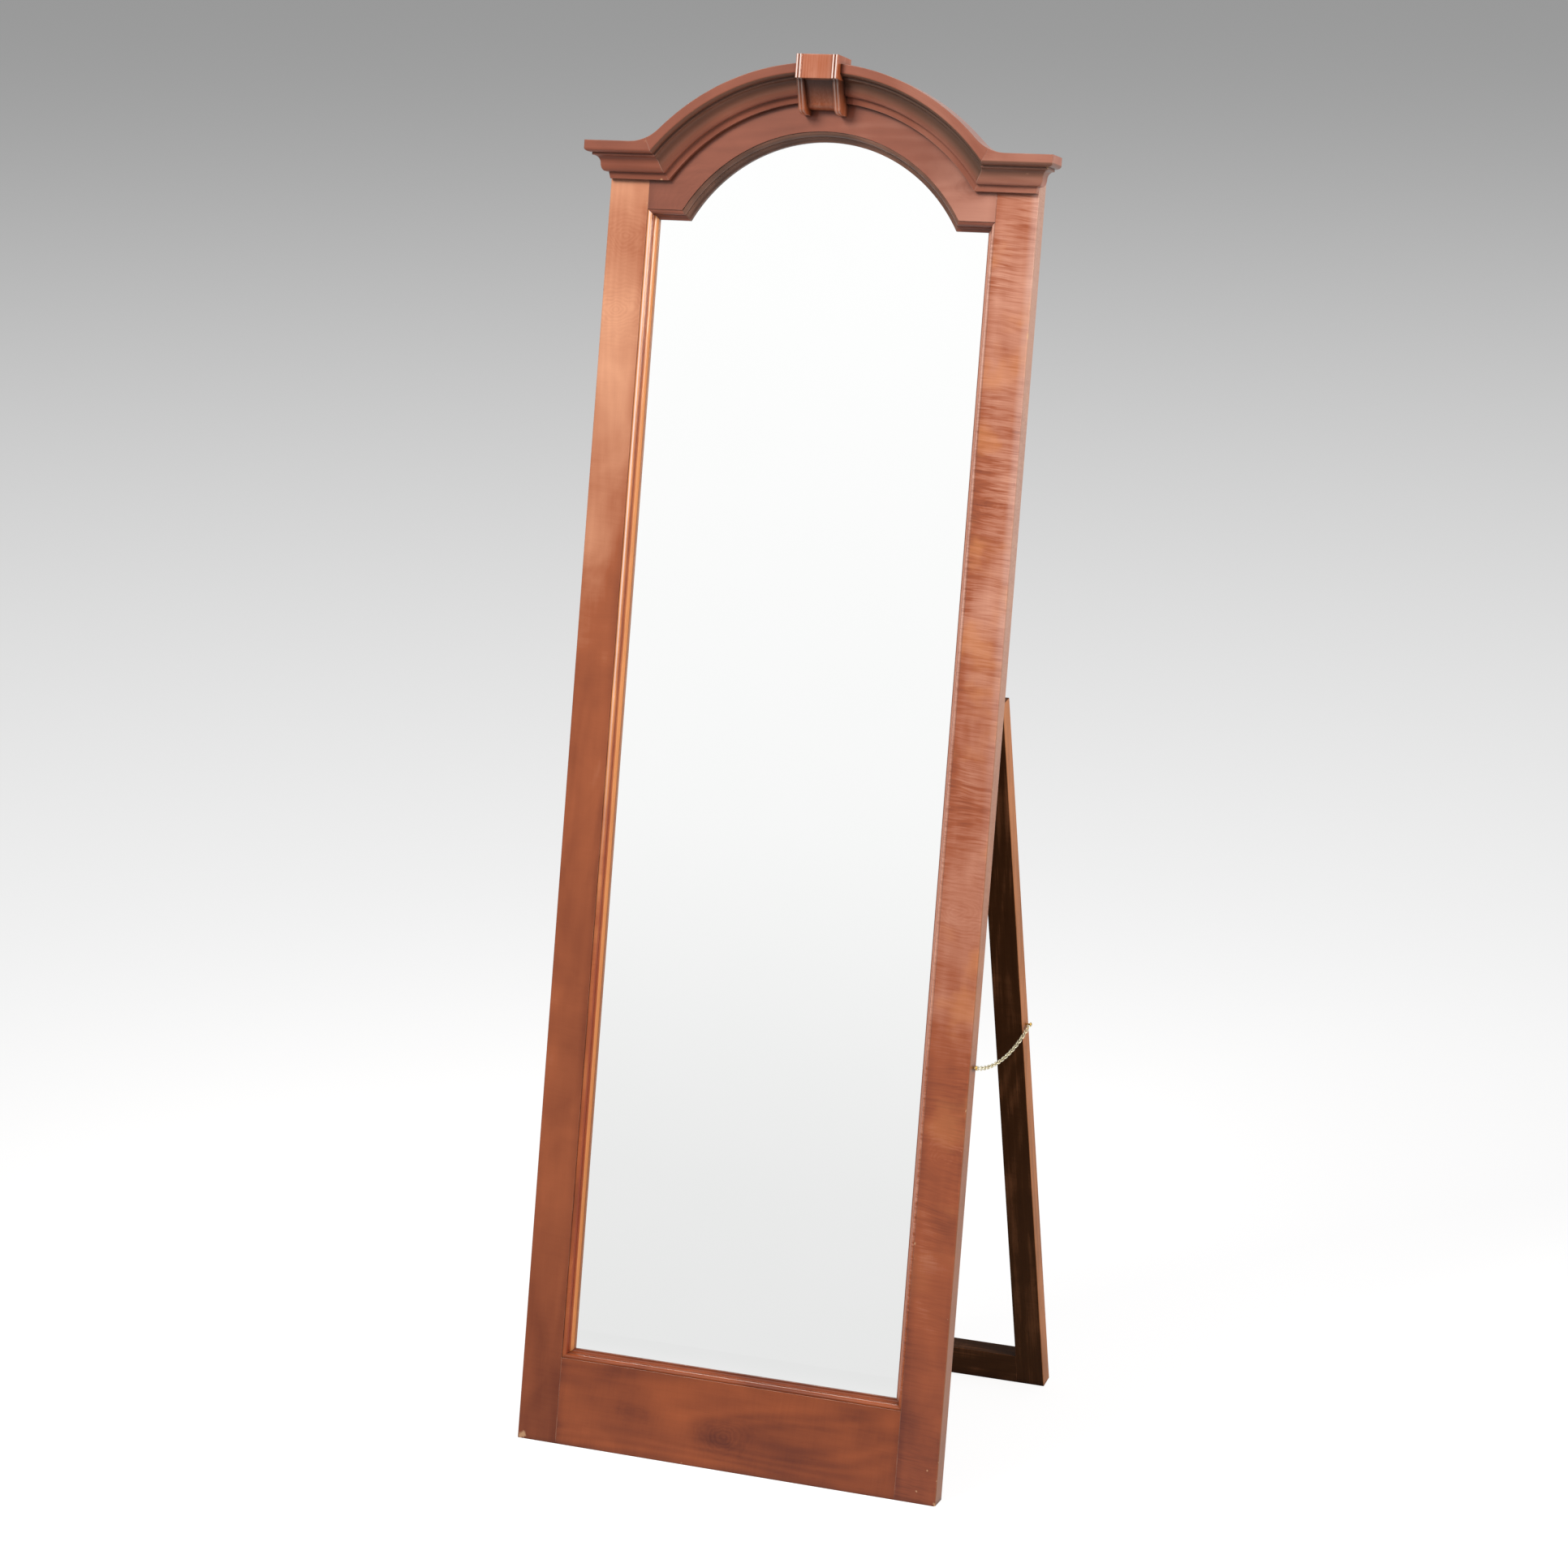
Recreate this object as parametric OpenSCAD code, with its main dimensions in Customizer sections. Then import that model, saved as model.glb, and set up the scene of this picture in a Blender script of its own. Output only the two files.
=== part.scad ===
// Full length floor mirror with an arched crown and a folding easel back.
// Millimetres. +X is to the right of someone who faces the glass, +Y is to the back, +Z is up.
// The origin is on the floor, in the middle of the space that the mirror takes up.

/* [Stance] */
// Angle by which the frame leans back, degrees
frame_lean = 11.6; // [9:0.1:14]
// Angle between the frame and the open easel, degrees
open_angle = 23.2; // [20:0.1:27]
// Height of the easel hinges up the rear face of the stiles
hinge_up = 1160; // [1000:5:1300]

/* [Frame] */
// Width over the two stiles
frame_w = 668; // [650:1:720]
// Thickness of the boards of the frame
stock_t = 27; // [26:0.5:32]
// Width of each stile
stile_w = 63; // [60:0.5:68]
// Height of the bottom rail
bottom_rail_h = 130; // [100:1:160]
// Radius of the eased outer edges
edge_round = 2.5; // [1:0.5:4]

/* [Opening] */
// Height of the shoulders of the opening
shoulder_h = 1840; // [1700:5:1900]
// Radius of the arch over the opening
arch_r = 253; // [245:1:258]
// Rise of the arch over the shoulders
arch_rise = 121; // [112:1:128]
// Width of the moulding round the glass
sight_w = 13.5; // [12.5:0.5:16]
// Depth of the moulding, from the face of the frame to the glass
sight_depth = 18; // [17:0.5:19]

/* [Crown] */
// Plain face between the opening and the crown
frieze_h = 42; // [38:1:50]
// Height of the crown moulding
crown_h = 52; // [50:1:60]
// Projection of the crown from the face of the frame
crown_proj = 39; // [36:0.5:42]
// Overhang of the crown past the sides of the stiles
crown_side = 29.5; // [26:0.5:32]
// Height of the plain lip along the top of the crown
lip_h = 12; // [8:0.5:13]
// Radius of the hollow where the arch runs out onto the shoulders
hollow_r = 67; // [45:1:80]
// Step from the top of the crown down to the boards behind it
board_drop = 4; // [2:0.5:8]

/* [Keystone] */
// Width of the keystone
key_w = 65; // [58:1:72]
// Height of the keystone
key_h = 82; // [76:1:86]
// Rise of the keystone over the top of the crown
key_rise = 10; // [6:1:14]
// Projection of the keystone from the face of the frame
key_proj = 52; // [48:0.5:56]
// Width of each reeded cheek of the keystone
cheek_w = 9.5; // [8:0.5:11]

/* [Mirror] */
// Thickness of the mirror plate
glass_t = 4; // [3:0.5:4.5]
// Thickness of the backing board
board_t = 3.2; // [2.5:0.1:3.4]
// Width of the rear ledge that the backing board is screwed to
ledge_w = 8; // [7:0.5:12]

/* [Easel] */
// Width of each easel leg
leg_w = 43.5; // [40:0.5:46]
// Thickness of the easel boards
easel_t = 27; // [22:0.5:30]
// Height of the easel rails
easel_rail_h = 47; // [40:1:60]
// Distance of the outer faces of the easel inside the outer faces of the frame
easel_inset = 3; // [1:0.5:4]

/* [Hinges] */
// Length of each hinge along its pin
hinge_len = 36; // [30:1:38]
// Width of each hinge leaf, from the pin to its edge
leaf_w = 22; // [18:1:28]
// Thickness of each hinge leaf
leaf_t = 1.5; // [1.2:0.1:2]
// Radius of the hinge knuckles
knuckle_r = 3.2; // [2.8:0.1:3.8]
// Radius of the hinge pins
pin_r = 1.5; // [1.2:0.1:1.8]

/* [Chain] */
// Height of the chain screw up the stile
chain_up = 635; // [560:5:720]
// Distance of the chain screw down the leg, from the hinge
chain_down = 527; // [500:1:560]
// Sag of the chain between its screws
chain_sag = 20; // [12:1:26]
// Diameter of the wire of the links
link_wire = 1.6; // [1.2:0.1:1.8]
// Inside width of each link
link_gap = 3.4; // [3.2:0.1:4]
// Least distance from link to link
link_pitch = 7.5; // [7:0.1:9]

/* [Hidden] */

// Clearances
eps = 1;
screw_fit = 0.1;
dowel_fit = 0.05;
glass_fit = 1;
board_fit = 0.5;
fold_gap = 0.5;
leaf_gap = 0.2;
leaf_fit = 0.3;
pin_fit = 0.06;
link_fit = 0.3;

// The opening and the arch, on the face of the frame
open_half = frame_w / 2 - stile_w;
arch_c = shoulder_h + arch_rise - arch_r;
arch_half = sqrt(pow(arch_r, 2) - pow(shoulder_h - arch_c, 2));
sight_r = arch_r - sight_w;
sight_shoulder = shoulder_h - sight_w;
sight_half = sqrt(pow(sight_r, 2) - pow(sight_shoulder - arch_c, 2));
glass_back = sight_depth + glass_t;
foot_slope = tan(frame_lean);

// The crown
crown_r = arch_r + frieze_h;
crown_z = shoulder_h + frieze_h;
crown_top_r = crown_r + crown_h;
crown_top_z = crown_z + crown_h;
crown_base = frame_w / 2 + crown_side - crown_proj;
valley_low = sqrt(pow(crown_r, 2) - pow(crown_z - arch_c, 2));
valley_high = sqrt(pow(crown_top_r, 2) - pow(crown_top_z - arch_c, 2));
hollow_z = crown_top_z + hollow_r;
hollow_x = sqrt(pow(crown_top_r + hollow_r, 2) - pow(hollow_z - arch_c, 2));
board_top_z = crown_top_z - board_drop;
board_top_r = crown_top_r - board_drop;

// Steps of the crown moulding: distance from the face, and height over its lower edge
foot_low_p = 7.5;
foot_high_p = 9.5;
foot_h = 9.5;
ogee_low_p = 13;
ogee_mid_p = 19.5;
ogee_mid_h = 21;
ogee_high_p = 28.5;
ogee_high_h = 31.5;
bead_p = 29.5;
bead_h = crown_h - lip_h - 5;
ovolo_p = 30.5;

// Screws and dowels
hinge_screw_r = 1.5;
hinge_screw_head_r = 2.9;
hinge_screw_len = 14;
hinge_screw_drop = 13;
hinge_screw_step = 12;
dowel_r = 4;
dowel_len = 50;
dowel_inset = 30;
dowel_lift = 5;
easel_dowel_drops = [hinge_screw_drop + 9, easel_rail_h - 8];
crown_screw_r = 2;
crown_screw_head_r = 4;
crown_screw_head_h = 3.5;
crown_screw_bite = 15;
crown_screw_h = 34;
arch_screw_angles = [15, 38];
board_screw_r = 1.4;
board_screw_head_r = 2.6;
board_screw_head_h = 1.2;
board_screw_bite = 7;
board_screw_step = 165;
board_screw_end = 30;

// The keystone
key_top = arch_c + crown_top_r + key_rise;
key_bottom = key_top - key_h;
key_band = 34.5;
key_step = 6;
key_knee_p = 28;
key_toe_p = 12;
key_toe_h = 8;
panel_set = 2;
panel_back = 8;
panel_lift = 8;
reed_r = cheek_w / 4;
key_screw_heights = [14, 32];

// The easel, worked out from its hinges
face_gap = fold_gap / 2;
hinge_w = stock_t + face_gap;
hinge_y = hinge_w * cos(frame_lean) + hinge_up * sin(frame_lean);
hinge_z = hinge_up * cos(frame_lean) - hinge_w * sin(frame_lean);
leg_lean = open_angle - frame_lean;
leg_len = (hinge_z + face_gap * sin(leg_lean)) / cos(leg_lean);
leg_top = knuckle_r + 0.8;
leg_outer = frame_w / 2 - easel_inset;
leg_inner = leg_outer - leg_w;
leg_back = face_gap + easel_t;
easel_mid = face_gap + easel_t / 2;
leg_foot_y = hinge_y + leg_back * cos(leg_lean) + leg_len * sin(leg_lean);
y_mid = leg_foot_y / 2;
hinge_x = leg_outer - leg_w / 2;
pin_head_r = pin_r + 0.7;
pin_head_h = 0.9;
pin_end = hinge_len / 2 + screw_fit + pin_head_h;

// The chain hangs on a circle through its two screws, in the plane x = chain_x
chain_screw_r = 1.4;
chain_screw_bite = 15;
chain_screw_head_r = 3.4;
chain_screw_head_h = 2.2;
wire_r = link_wire / 2;
bend_r = link_gap / 2 + wire_r;
chain_x = frame_w / 2 + bend_r + wire_r + 0.5;
screw_end_x = chain_x + wire_r + link_fit;
frame_screw_w = stock_t / 2;
frame_end = [
    frame_screw_w * cos(frame_lean) + chain_up * sin(frame_lean) - y_mid,
    chain_up * cos(frame_lean) - frame_screw_w * sin(frame_lean)
];
leg_end = [
    hinge_y + easel_mid * cos(leg_lean) + chain_down * sin(leg_lean) - y_mid,
    hinge_z + easel_mid * sin(leg_lean) - chain_down * cos(leg_lean)
];
chord = norm(leg_end - frame_end);
chord_tilt = atan2(leg_end[1] - frame_end[1], leg_end[0] - frame_end[0]);
sag_r = (pow(chord / 2, 2) + pow(chain_sag, 2)) / (2 * chain_sag);
sag_half = asin(chord / 2 / sag_r);
chain_mid = (frame_end + leg_end) / 2 + (sag_r - chain_sag) * [-sin(chord_tilt), cos(chord_tilt)];
arc_len = 2 * sag_half * PI / 180 * sag_r;
link_seat = link_gap / 2 - chain_screw_r;
link_room = arc_len + link_gap - link_seat - link_fit;
link_count = 2 * floor((link_room / link_pitch - 1) / 2) + 1;
link_step = link_room / link_count;
link_flat = round(100 * ((link_step + link_fit) / 2 - link_gap / 2)) / 100;
end_angle = (link_flat + link_seat / 2) / sag_r * 180 / PI;
step_angle = 2 * (sag_half - end_angle) / (link_count - 1);
front_count = (link_count + 1) / 2;

$fn = 96;
small_fn = 32;

cherry = [0.62, 0.33, 0.22];
cherry_light = [0.72, 0.42, 0.3];
cherry_dark = [0.36, 0.17, 0.11];
brass = [0.8, 0.66, 0.36];

// Points along a quarter of an ellipse
function quarter(cx, cy, rx, ry, from, to, steps = 6) = [
    for (i = [0:steps])
        let (a = from + (to - from) * i / steps)
        [cx + rx * cos(a), cy + ry * sin(a)]
];

// The front of the crown moulding, from its lower edge to the foot of its lip
crown_front = concat(
    [[foot_low_p, 0], [foot_high_p, foot_h]],
    quarter(ogee_low_p, ogee_mid_h, ogee_mid_p - ogee_low_p, ogee_mid_h - foot_h, -90, 0),
    quarter(ogee_high_p, ogee_mid_h, ogee_high_p - ogee_mid_p, ogee_high_h - ogee_mid_h, 180, 90),
    [[bead_p, ogee_high_h], [bead_p, bead_h]],
    quarter(ovolo_p, crown_h - lip_h, crown_proj - ovolo_p, crown_h - lip_h - bead_h, -90, 0)
);
crown_section = concat([[0, 0]], crown_front, [[crown_proj, crown_h], [0, crown_h]]);

// The moulding round the glass: distance into the opening, and depth behind the face
sight_section = concat(
    [[0, sight_depth], [0, 1.2]],
    quarter(0.6, 7.5, 5.9, 6.3, -90, 0),
    [[7.3, 7.5]],
    quarter(sight_w - 1.7, 8.3, sight_w - 9, sight_depth - 11.3, 180, 90),
    [[sight_w, sight_depth - 3], [sight_w, sight_depth]]
);

// Stands a drawing of the face up: its x goes along X and its y up Z
module face_board(front, back) {
    translate([0, back, 0])
        rotate([90, 0, 0])
            linear_extrude(back - front) children();
}

// Runs a section along X: the section's x goes along Y and its y up Z
module run_along_x(from, to) {
    translate([from, 0, 0])
        rotate([90, 0, 90])
            linear_extrude(to - from) children();
}

// Turns a section round the centre of the arch: its x is the radius and its y points forward
module turn_round_arch() {
    translate([0, 0, arch_c])
        rotate([90, 0, 0])
            rotate_extrude($fn = 180) children();
}

// Leans the frame back and sets it in its place on the floor
module frame_pose() {
    translate([0, -y_mid, 0])
        rotate([-frame_lean, 0, 0]) children();
}

// Hangs the easel from its hinge pins and opens it
module easel_pose() {
    translate([0, hinge_y - y_mid, hinge_z])
        rotate([leg_lean, 0, 0]) children();
}

// The opening on the face of the frame, grown all round
module opening_2d(grow) {
    translate([-open_half - grow, bottom_rail_h - grow])
        square([2 * (open_half + grow), shoulder_h + grow - (bottom_rail_h - grow)]);
    intersection() {
        translate([0, arch_c])
            circle(r = arch_r + grow, $fn = 180);
        translate([-open_half - grow, shoulder_h - 2 * glass_fit])
            square([2 * (open_half + grow), arch_r]);
    }
}

module backing_pocket() {
    face_board(glass_back, stock_t + eps) opening_2d(ledge_w);
}

// A screw with a countersunk head: its head is at the origin and it points along +Z
module countersunk(r, head_r, head_h, len) {
    rotate_extrude($fn = small_fn)
        polygon([[0, 0], [head_r, 0], [r, head_h], [r, len - r], [0, len]]);
}

module countersunk_bore(r, head_r, head_h, len) {
    rotate_extrude($fn = small_fn)
        polygon([
            [0, -eps], [head_r + screw_fit, -eps], [head_r + screw_fit, 0],
            [r + screw_fit, head_h], [r + screw_fit, len], [0, len]
        ]);
}

// Places of the dowels that hold one rail of the frame: [x of the joint, height]
rail_ends = [
    for (side = [-1, 1], z = [
        dowel_inset, bottom_rail_h - dowel_inset,
        shoulder_h + dowel_inset - dowel_lift, board_top_z - dowel_inset + dowel_lift
    ]) [side * open_half, z]
];

module frame_dowel_row(fit) {
    for (p = rail_ends)
        translate([p[0] - dowel_len / 2 - fit, stock_t / 2, p[1]])
            rotate([0, 90, 0])
                cylinder(r = dowel_r + fit, h = dowel_len + 2 * fit, $fn = small_fn);
}

// Places of the screws that hold the crown, seen from the back: [x, height]
crown_screw_places = concat(
    [for (side = [-1, 1], a = arch_screw_angles)
        [side * (crown_r + crown_screw_h) * sin(a), arch_c + (crown_r + crown_screw_h) * cos(a)]],
    [for (side = [-1, 1]) [side * (open_half + stile_w / 2), crown_z + crown_screw_h]],
    [for (h = key_screw_heights) [0, arch_c + crown_r + h]]
);

module at_crown_screws() {
    for (p = crown_screw_places)
        translate([p[0], stock_t, p[1]])
            rotate([90, 0, 0]) children();
}

module crown_screw_bores() {
    at_crown_screws()
        countersunk_bore(crown_screw_r, crown_screw_head_r, crown_screw_head_h,
            stock_t + crown_screw_bite + 0.5);
}

module hinge_mortises() {
    for (side = [-1, 1])
        translate([side * hinge_x, stock_t, hinge_up]) {
            translate([-hinge_len / 2 - leaf_fit, -leaf_t - leaf_fit + face_gap, -leaf_w - leaf_fit])
                cube([hinge_len + 2 * leaf_fit, leaf_t + leaf_fit + eps, leaf_w + leaf_fit]);
            translate([-pin_end - leaf_fit, -knuckle_r, -knuckle_r - leaf_fit])
                cube([2 * (pin_end + leaf_fit), knuckle_r + eps, 2 * (knuckle_r + leaf_fit)]);
        }
}

module hinge_frame_bores() {
    for (side = [-1, 1], step = [-1, 0, 1])
        translate([
            side * hinge_x + step * hinge_screw_step,
            hinge_w - leaf_gap / 2,
            hinge_up - hinge_screw_drop
        ])
            rotate([90, 0, 0])
                countersunk_bore(hinge_screw_r, hinge_screw_head_r, leaf_t, hinge_screw_len + 0.5);
}

module stile_2d() {
    difference() {
        square([stile_w, stock_t]);
        translate([stile_w - edge_round, 0])
            square(edge_round);
        translate([stile_w - 1, stock_t - 1])
            square(1);
    }
    translate([stile_w - edge_round, edge_round])
        circle(r = edge_round, $fn = small_fn);
    translate([stile_w - 1, stock_t - 1])
        circle(r = 1, $fn = small_fn);
}

// The right stile, standing upright, with its foot cut level for the lean
module stile() {
    difference() {
        translate([open_half, 0, 0])
            linear_extrude(board_top_z) stile_2d();
        run_along_x(open_half - eps, frame_w / 2 + eps)
            polygon([[-eps, -eps], [0, 0], [stock_t, stock_t * foot_slope],
                [stock_t + eps, (stock_t + eps) * foot_slope], [stock_t + eps, -eps]]);
        backing_pocket();
        frame_dowel_row(dowel_fit);
        crown_screw_bores();
        board_screw_bores();
        hinge_mortises();
        hinge_frame_bores();
    }
}

module left_stile() {
    color(cherry_light)
        frame_pose()
            mirror([1, 0, 0]) stile();
}

module right_stile() {
    color(cherry_light)
        frame_pose()
            difference() {
                stile();
                translate([frame_w / 2 - chain_screw_bite, frame_screw_w, chain_up])
                    rotate([0, 90, 0])
                        cylinder(r = chain_screw_r + screw_fit, h = chain_screw_bite + eps,
                            $fn = small_fn);
            }
}

module top_rail() {
    color(cherry)
        frame_pose()
            difference() {
                face_board(0, stock_t)
                    difference() {
                        union() {
                            translate([-open_half, shoulder_h])
                                square([2 * open_half, board_top_z - shoulder_h]);
                            intersection() {
                                translate([0, arch_c])
                                    circle(r = board_top_r, $fn = 180);
                                translate([-open_half, shoulder_h])
                                    square([2 * open_half, board_top_r]);
                            }
                        }
                        opening_2d(0);
                    }
                backing_pocket();
                frame_dowel_row(dowel_fit);
                crown_screw_bores();
                board_screw_bores();
            }
}

module bottom_rail() {
    color(cherry)
        frame_pose()
            difference() {
                run_along_x(-open_half, open_half)
                    polygon([[0, 0], [stock_t, stock_t * foot_slope],
                        [stock_t, bottom_rail_h], [0, bottom_rail_h]]);
                backing_pocket();
                frame_dowel_row(dowel_fit);
                board_screw_bores();
            }
}

module frame_dowels() {
    color("burlywood")
        frame_pose() frame_dowel_row(0);
}

// One side of the crown: the zone from the keystone to the valley, on the face
module arch_zone_2d() {
    out = valley_high - valley_low;
    polygon([
        [key_w / 2, crown_z],
        [valley_low, crown_z],
        [valley_high + out, crown_top_z + crown_h],
        [valley_high + out, key_top],
        [key_w / 2, key_top]
    ]);
}

module shoulder_zone_2d() {
    out = valley_high - valley_low;
    far = frame_w / 2 + crown_side + eps;
    polygon([
        [valley_low, crown_z],
        [far, crown_z],
        [far, crown_top_z + crown_h],
        [valley_high + out, crown_top_z + crown_h]
    ]);
}

// The web of the lip under the hollow where the arch runs out onto the shoulder
module hollow_2d() {
    reach = crown_top_r / (crown_top_r + hollow_r);
    difference() {
        polygon([
            [hollow_x, crown_top_z],
            [hollow_x * reach, arch_c + (hollow_z - arch_c) * reach],
            [valley_high - lip_h, crown_top_z - lip_h]
        ]);
        translate([hollow_x, hollow_z])
            circle(r = hollow_r, $fn = 180);
        translate([0, arch_c])
            circle(r = crown_top_r - lip_h / 2, $fn = 180);
    }
}

module crown_arch() {
    difference() {
        intersection() {
            union() {
                turn_round_arch()
                    polygon([for (p = crown_section) [crown_r + p[1], p[0]]]);
                face_board(-crown_proj, 0) hollow_2d();
            }
            face_board(-crown_proj - eps, eps) arch_zone_2d();
        }
        crown_screw_bores();
    }
}

// The straight crown moulding over one shoulder, long at its outer end
module crown_straight() {
    intersection() {
        union() {
            run_along_x(valley_low - eps, frame_w / 2 + crown_side + eps)
                polygon([for (p = crown_section) [-p[0], crown_z + p[1]]]);
            face_board(-crown_proj, 0)
                difference() {
                    hollow_2d();
                    translate([0, crown_z])
                        square([frame_w, crown_h - lip_h / 2]);
                }
        }
        face_board(-crown_proj - eps, eps) shoulder_zone_2d();
    }
}

// The zone in front of the mitre between shoulder and return, in plan
module mitre_zone(from_x, to_x) {
    translate([0, 0, crown_z - eps])
        linear_extrude(3 * crown_h)
            polygon([[from_x, 0], [crown_base, 0], [crown_base + crown_proj + eps, -crown_proj - eps],
                [to_x, -crown_proj - eps]]);
}

module crown_shoulder() {
    difference() {
        intersection() {
            crown_straight();
            mitre_zone(valley_low - eps, valley_low - eps);
        }
        crown_screw_bores();
    }
}

// The short piece that turns the crown moulding back to the face at its end
module crown_return() {
    intersection() {
        face_board(-crown_proj, 0)
            polygon([for (p = crown_section) [crown_base + p[0], crown_z + p[1]]]);
        translate([0, 0, crown_z - eps])
            linear_extrude(crown_h + 2 * eps)
                polygon([
                    [crown_base, 0],
                    [crown_base + crown_proj + eps, -crown_proj - eps],
                    [crown_base + crown_proj + eps, 0]
                ]);
    }
}

module crown_arch_left() {
    color(cherry) frame_pose() mirror([1, 0, 0]) crown_arch();
}

module crown_arch_right() {
    color(cherry) frame_pose() crown_arch();
}

module crown_shoulder_left() {
    color(cherry) frame_pose() mirror([1, 0, 0]) crown_shoulder();
}

module crown_shoulder_right() {
    color(cherry) frame_pose() crown_shoulder();
}

module crown_return_left() {
    color(cherry_light) frame_pose() mirror([1, 0, 0]) crown_return();
}

module crown_return_right() {
    color(cherry_light) frame_pose() crown_return();
}

module crown_screws() {
    color(brass)
        frame_pose()
            at_crown_screws()
                translate([0, 0, screw_fit])
                    countersunk(crown_screw_r, crown_screw_head_r, crown_screw_head_h,
                        stock_t + crown_screw_bite);
}

// Side view of the keystone below its band, set back from its cheeks and lifted at its toe
module key_profile_2d(front, back, lift) {
    low = key_bottom + lift;
    neck = key_top - key_band;
    polygon(concat(
        [[0, low], [0, key_top], [-front, key_top], [-front, neck], [-front + key_step + back, neck]],
        [[-key_knee_p + back, low + key_toe_h]],
        quarter(-key_toe_p + back / 2, low + key_toe_h,
            key_knee_p - key_toe_p - back / 2, key_toe_h, 180, 270)
    ));
}

module keystone_block() {
    color(cherry_light)
        frame_pose()
            difference() {
                run_along_x(-key_w / 2 + cheek_w, key_w / 2 - cheek_w)
                    key_profile_2d(key_proj - panel_set, panel_back, panel_lift);
                crown_screw_bores();
            }
}

module cheek() {
    run_along_x(key_w / 2 - cheek_w, key_w / 2)
        key_profile_2d(key_proj - reed_r, 0, 0);
    for (k = [1, 3])
        translate([key_w / 2 - cheek_w + k * reed_r, -key_proj + reed_r, key_top - key_band])
            cylinder(r = reed_r, h = key_band, $fn = small_fn);
}

module keystone_left_cheek() {
    color(cherry) frame_pose() mirror([1, 0, 0]) cheek();
}

module keystone_right_cheek() {
    color(cherry) frame_pose() cheek();
}

// The moulding beside the glass, on the left, mitred at both ends
module sight_side() {
    intersection() {
        translate([-open_half, 0, bottom_rail_h])
            linear_extrude(shoulder_h - bottom_rail_h) polygon(sight_section);
        face_board(-eps, sight_depth + eps)
            polygon([
                [-open_half, bottom_rail_h],
                [-open_half + sight_w, bottom_rail_h + sight_w],
                [-open_half + sight_w, sight_shoulder],
                [-open_half, shoulder_h]
            ]);
    }
}

module sight_left() {
    color(cherry_light) frame_pose() sight_side();
}

module sight_right() {
    color(cherry_light) frame_pose() mirror([1, 0, 0]) sight_side();
}

module sight_bottom() {
    color(cherry)
        frame_pose()
            intersection() {
                run_along_x(-open_half, open_half)
                    polygon([for (p = sight_section) [p[1], bottom_rail_h + p[0]]]);
                face_board(-eps, sight_depth + eps)
                    polygon([
                        [-open_half, bottom_rail_h],
                        [open_half, bottom_rail_h],
                        [open_half - sight_w, bottom_rail_h + sight_w],
                        [-open_half + sight_w, bottom_rail_h + sight_w]
                    ]);
            }
}

module sight_shoulder() {
    intersection() {
        run_along_x(-open_half, -sight_half + eps)
            polygon([for (p = sight_section) [p[1], shoulder_h - p[0]]]);
        face_board(-eps, sight_depth + eps)
            polygon([
                [-open_half, shoulder_h],
                [-arch_half, shoulder_h],
                [-sight_half, sight_shoulder],
                [-open_half + sight_w, sight_shoulder]
            ]);
    }
}

module sight_shoulder_left() {
    color(cherry) frame_pose() sight_shoulder();
}

module sight_shoulder_right() {
    color(cherry) frame_pose() mirror([1, 0, 0]) sight_shoulder();
}

module sight_arch() {
    out = arch_half - sight_half;
    color(cherry)
        frame_pose()
            intersection() {
                turn_round_arch()
                    polygon([for (p = sight_section) [arch_r - p[0], -p[1]]]);
                face_board(-eps, sight_depth + eps)
                    polygon([
                        [-sight_half, sight_shoulder],
                        [sight_half, sight_shoulder],
                        [arch_half + out, shoulder_h + sight_w],
                        [arch_half + out, arch_c + arch_r + eps],
                        [-arch_half - out, arch_c + arch_r + eps],
                        [-arch_half - out, shoulder_h + sight_w]
                    ]);
            }
}

module mirror_plate() {
    color([0.86, 0.9, 0.92])
        frame_pose()
            face_board(sight_depth, glass_back) opening_2d(-glass_fit);
}

// Places of the screws round the backing board: [x, height]
screw_rim = ledge_w / 2;
side_span = shoulder_h - bottom_rail_h - 2 * board_screw_end;
side_count = round(side_span / board_screw_step);
foot_span = 2 * (open_half - board_screw_end);
foot_count = round(foot_span / board_screw_step);
board_screw_places = concat(
    [for (side = [-1, 1], i = [0:side_count])
        [side * (open_half + screw_rim), bottom_rail_h + board_screw_end + side_span * i / side_count]],
    [for (i = [0:foot_count])
        [-open_half + board_screw_end + foot_span * i / foot_count, bottom_rail_h - screw_rim]],
    [for (a = [-48:24:48])
        [(arch_r + screw_rim) * sin(a), arch_c + (arch_r + screw_rim) * cos(a)]]
);

module board_screw_bores() {
    for (p = board_screw_places)
        translate([p[0], glass_back + board_t + eps, p[1]])
            rotate([90, 0, 0])
                cylinder(r = board_screw_r + screw_fit, h = board_t + eps + board_screw_bite + 0.5,
                    $fn = small_fn);
}

module backing_board() {
    color([0.55, 0.42, 0.28])
        frame_pose()
            difference() {
                face_board(glass_back, glass_back + board_t) opening_2d(ledge_w - board_fit);
                board_screw_bores();
            }
}

module backing_screws() {
    color(brass)
        frame_pose()
            for (p = board_screw_places)
                translate([p[0], glass_back + board_t + board_screw_head_h, p[1]])
                    rotate([90, 0, 0])
                        rotate_extrude($fn = small_fn)
                            polygon([
                                [0, 0],
                                [board_screw_head_r - 0.6, 0],
                                [board_screw_head_r, board_screw_head_h - 0.4],
                                [board_screw_head_r, board_screw_head_h],
                                [board_screw_r, board_screw_head_h],
                                [board_screw_r, board_screw_head_h + board_t + board_screw_bite],
                                [0, board_screw_head_h + board_t + board_screw_bite]
                            ]);
}

// The easel, hanging from the hinge pins at the origin with its front face to -Y
easel_joints = [
    for (side = [-1, 1], rail = [leg_top, leg_len - easel_rail_h], drop = easel_dowel_drops)
        [side * leg_inner, -rail - drop]
];

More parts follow.
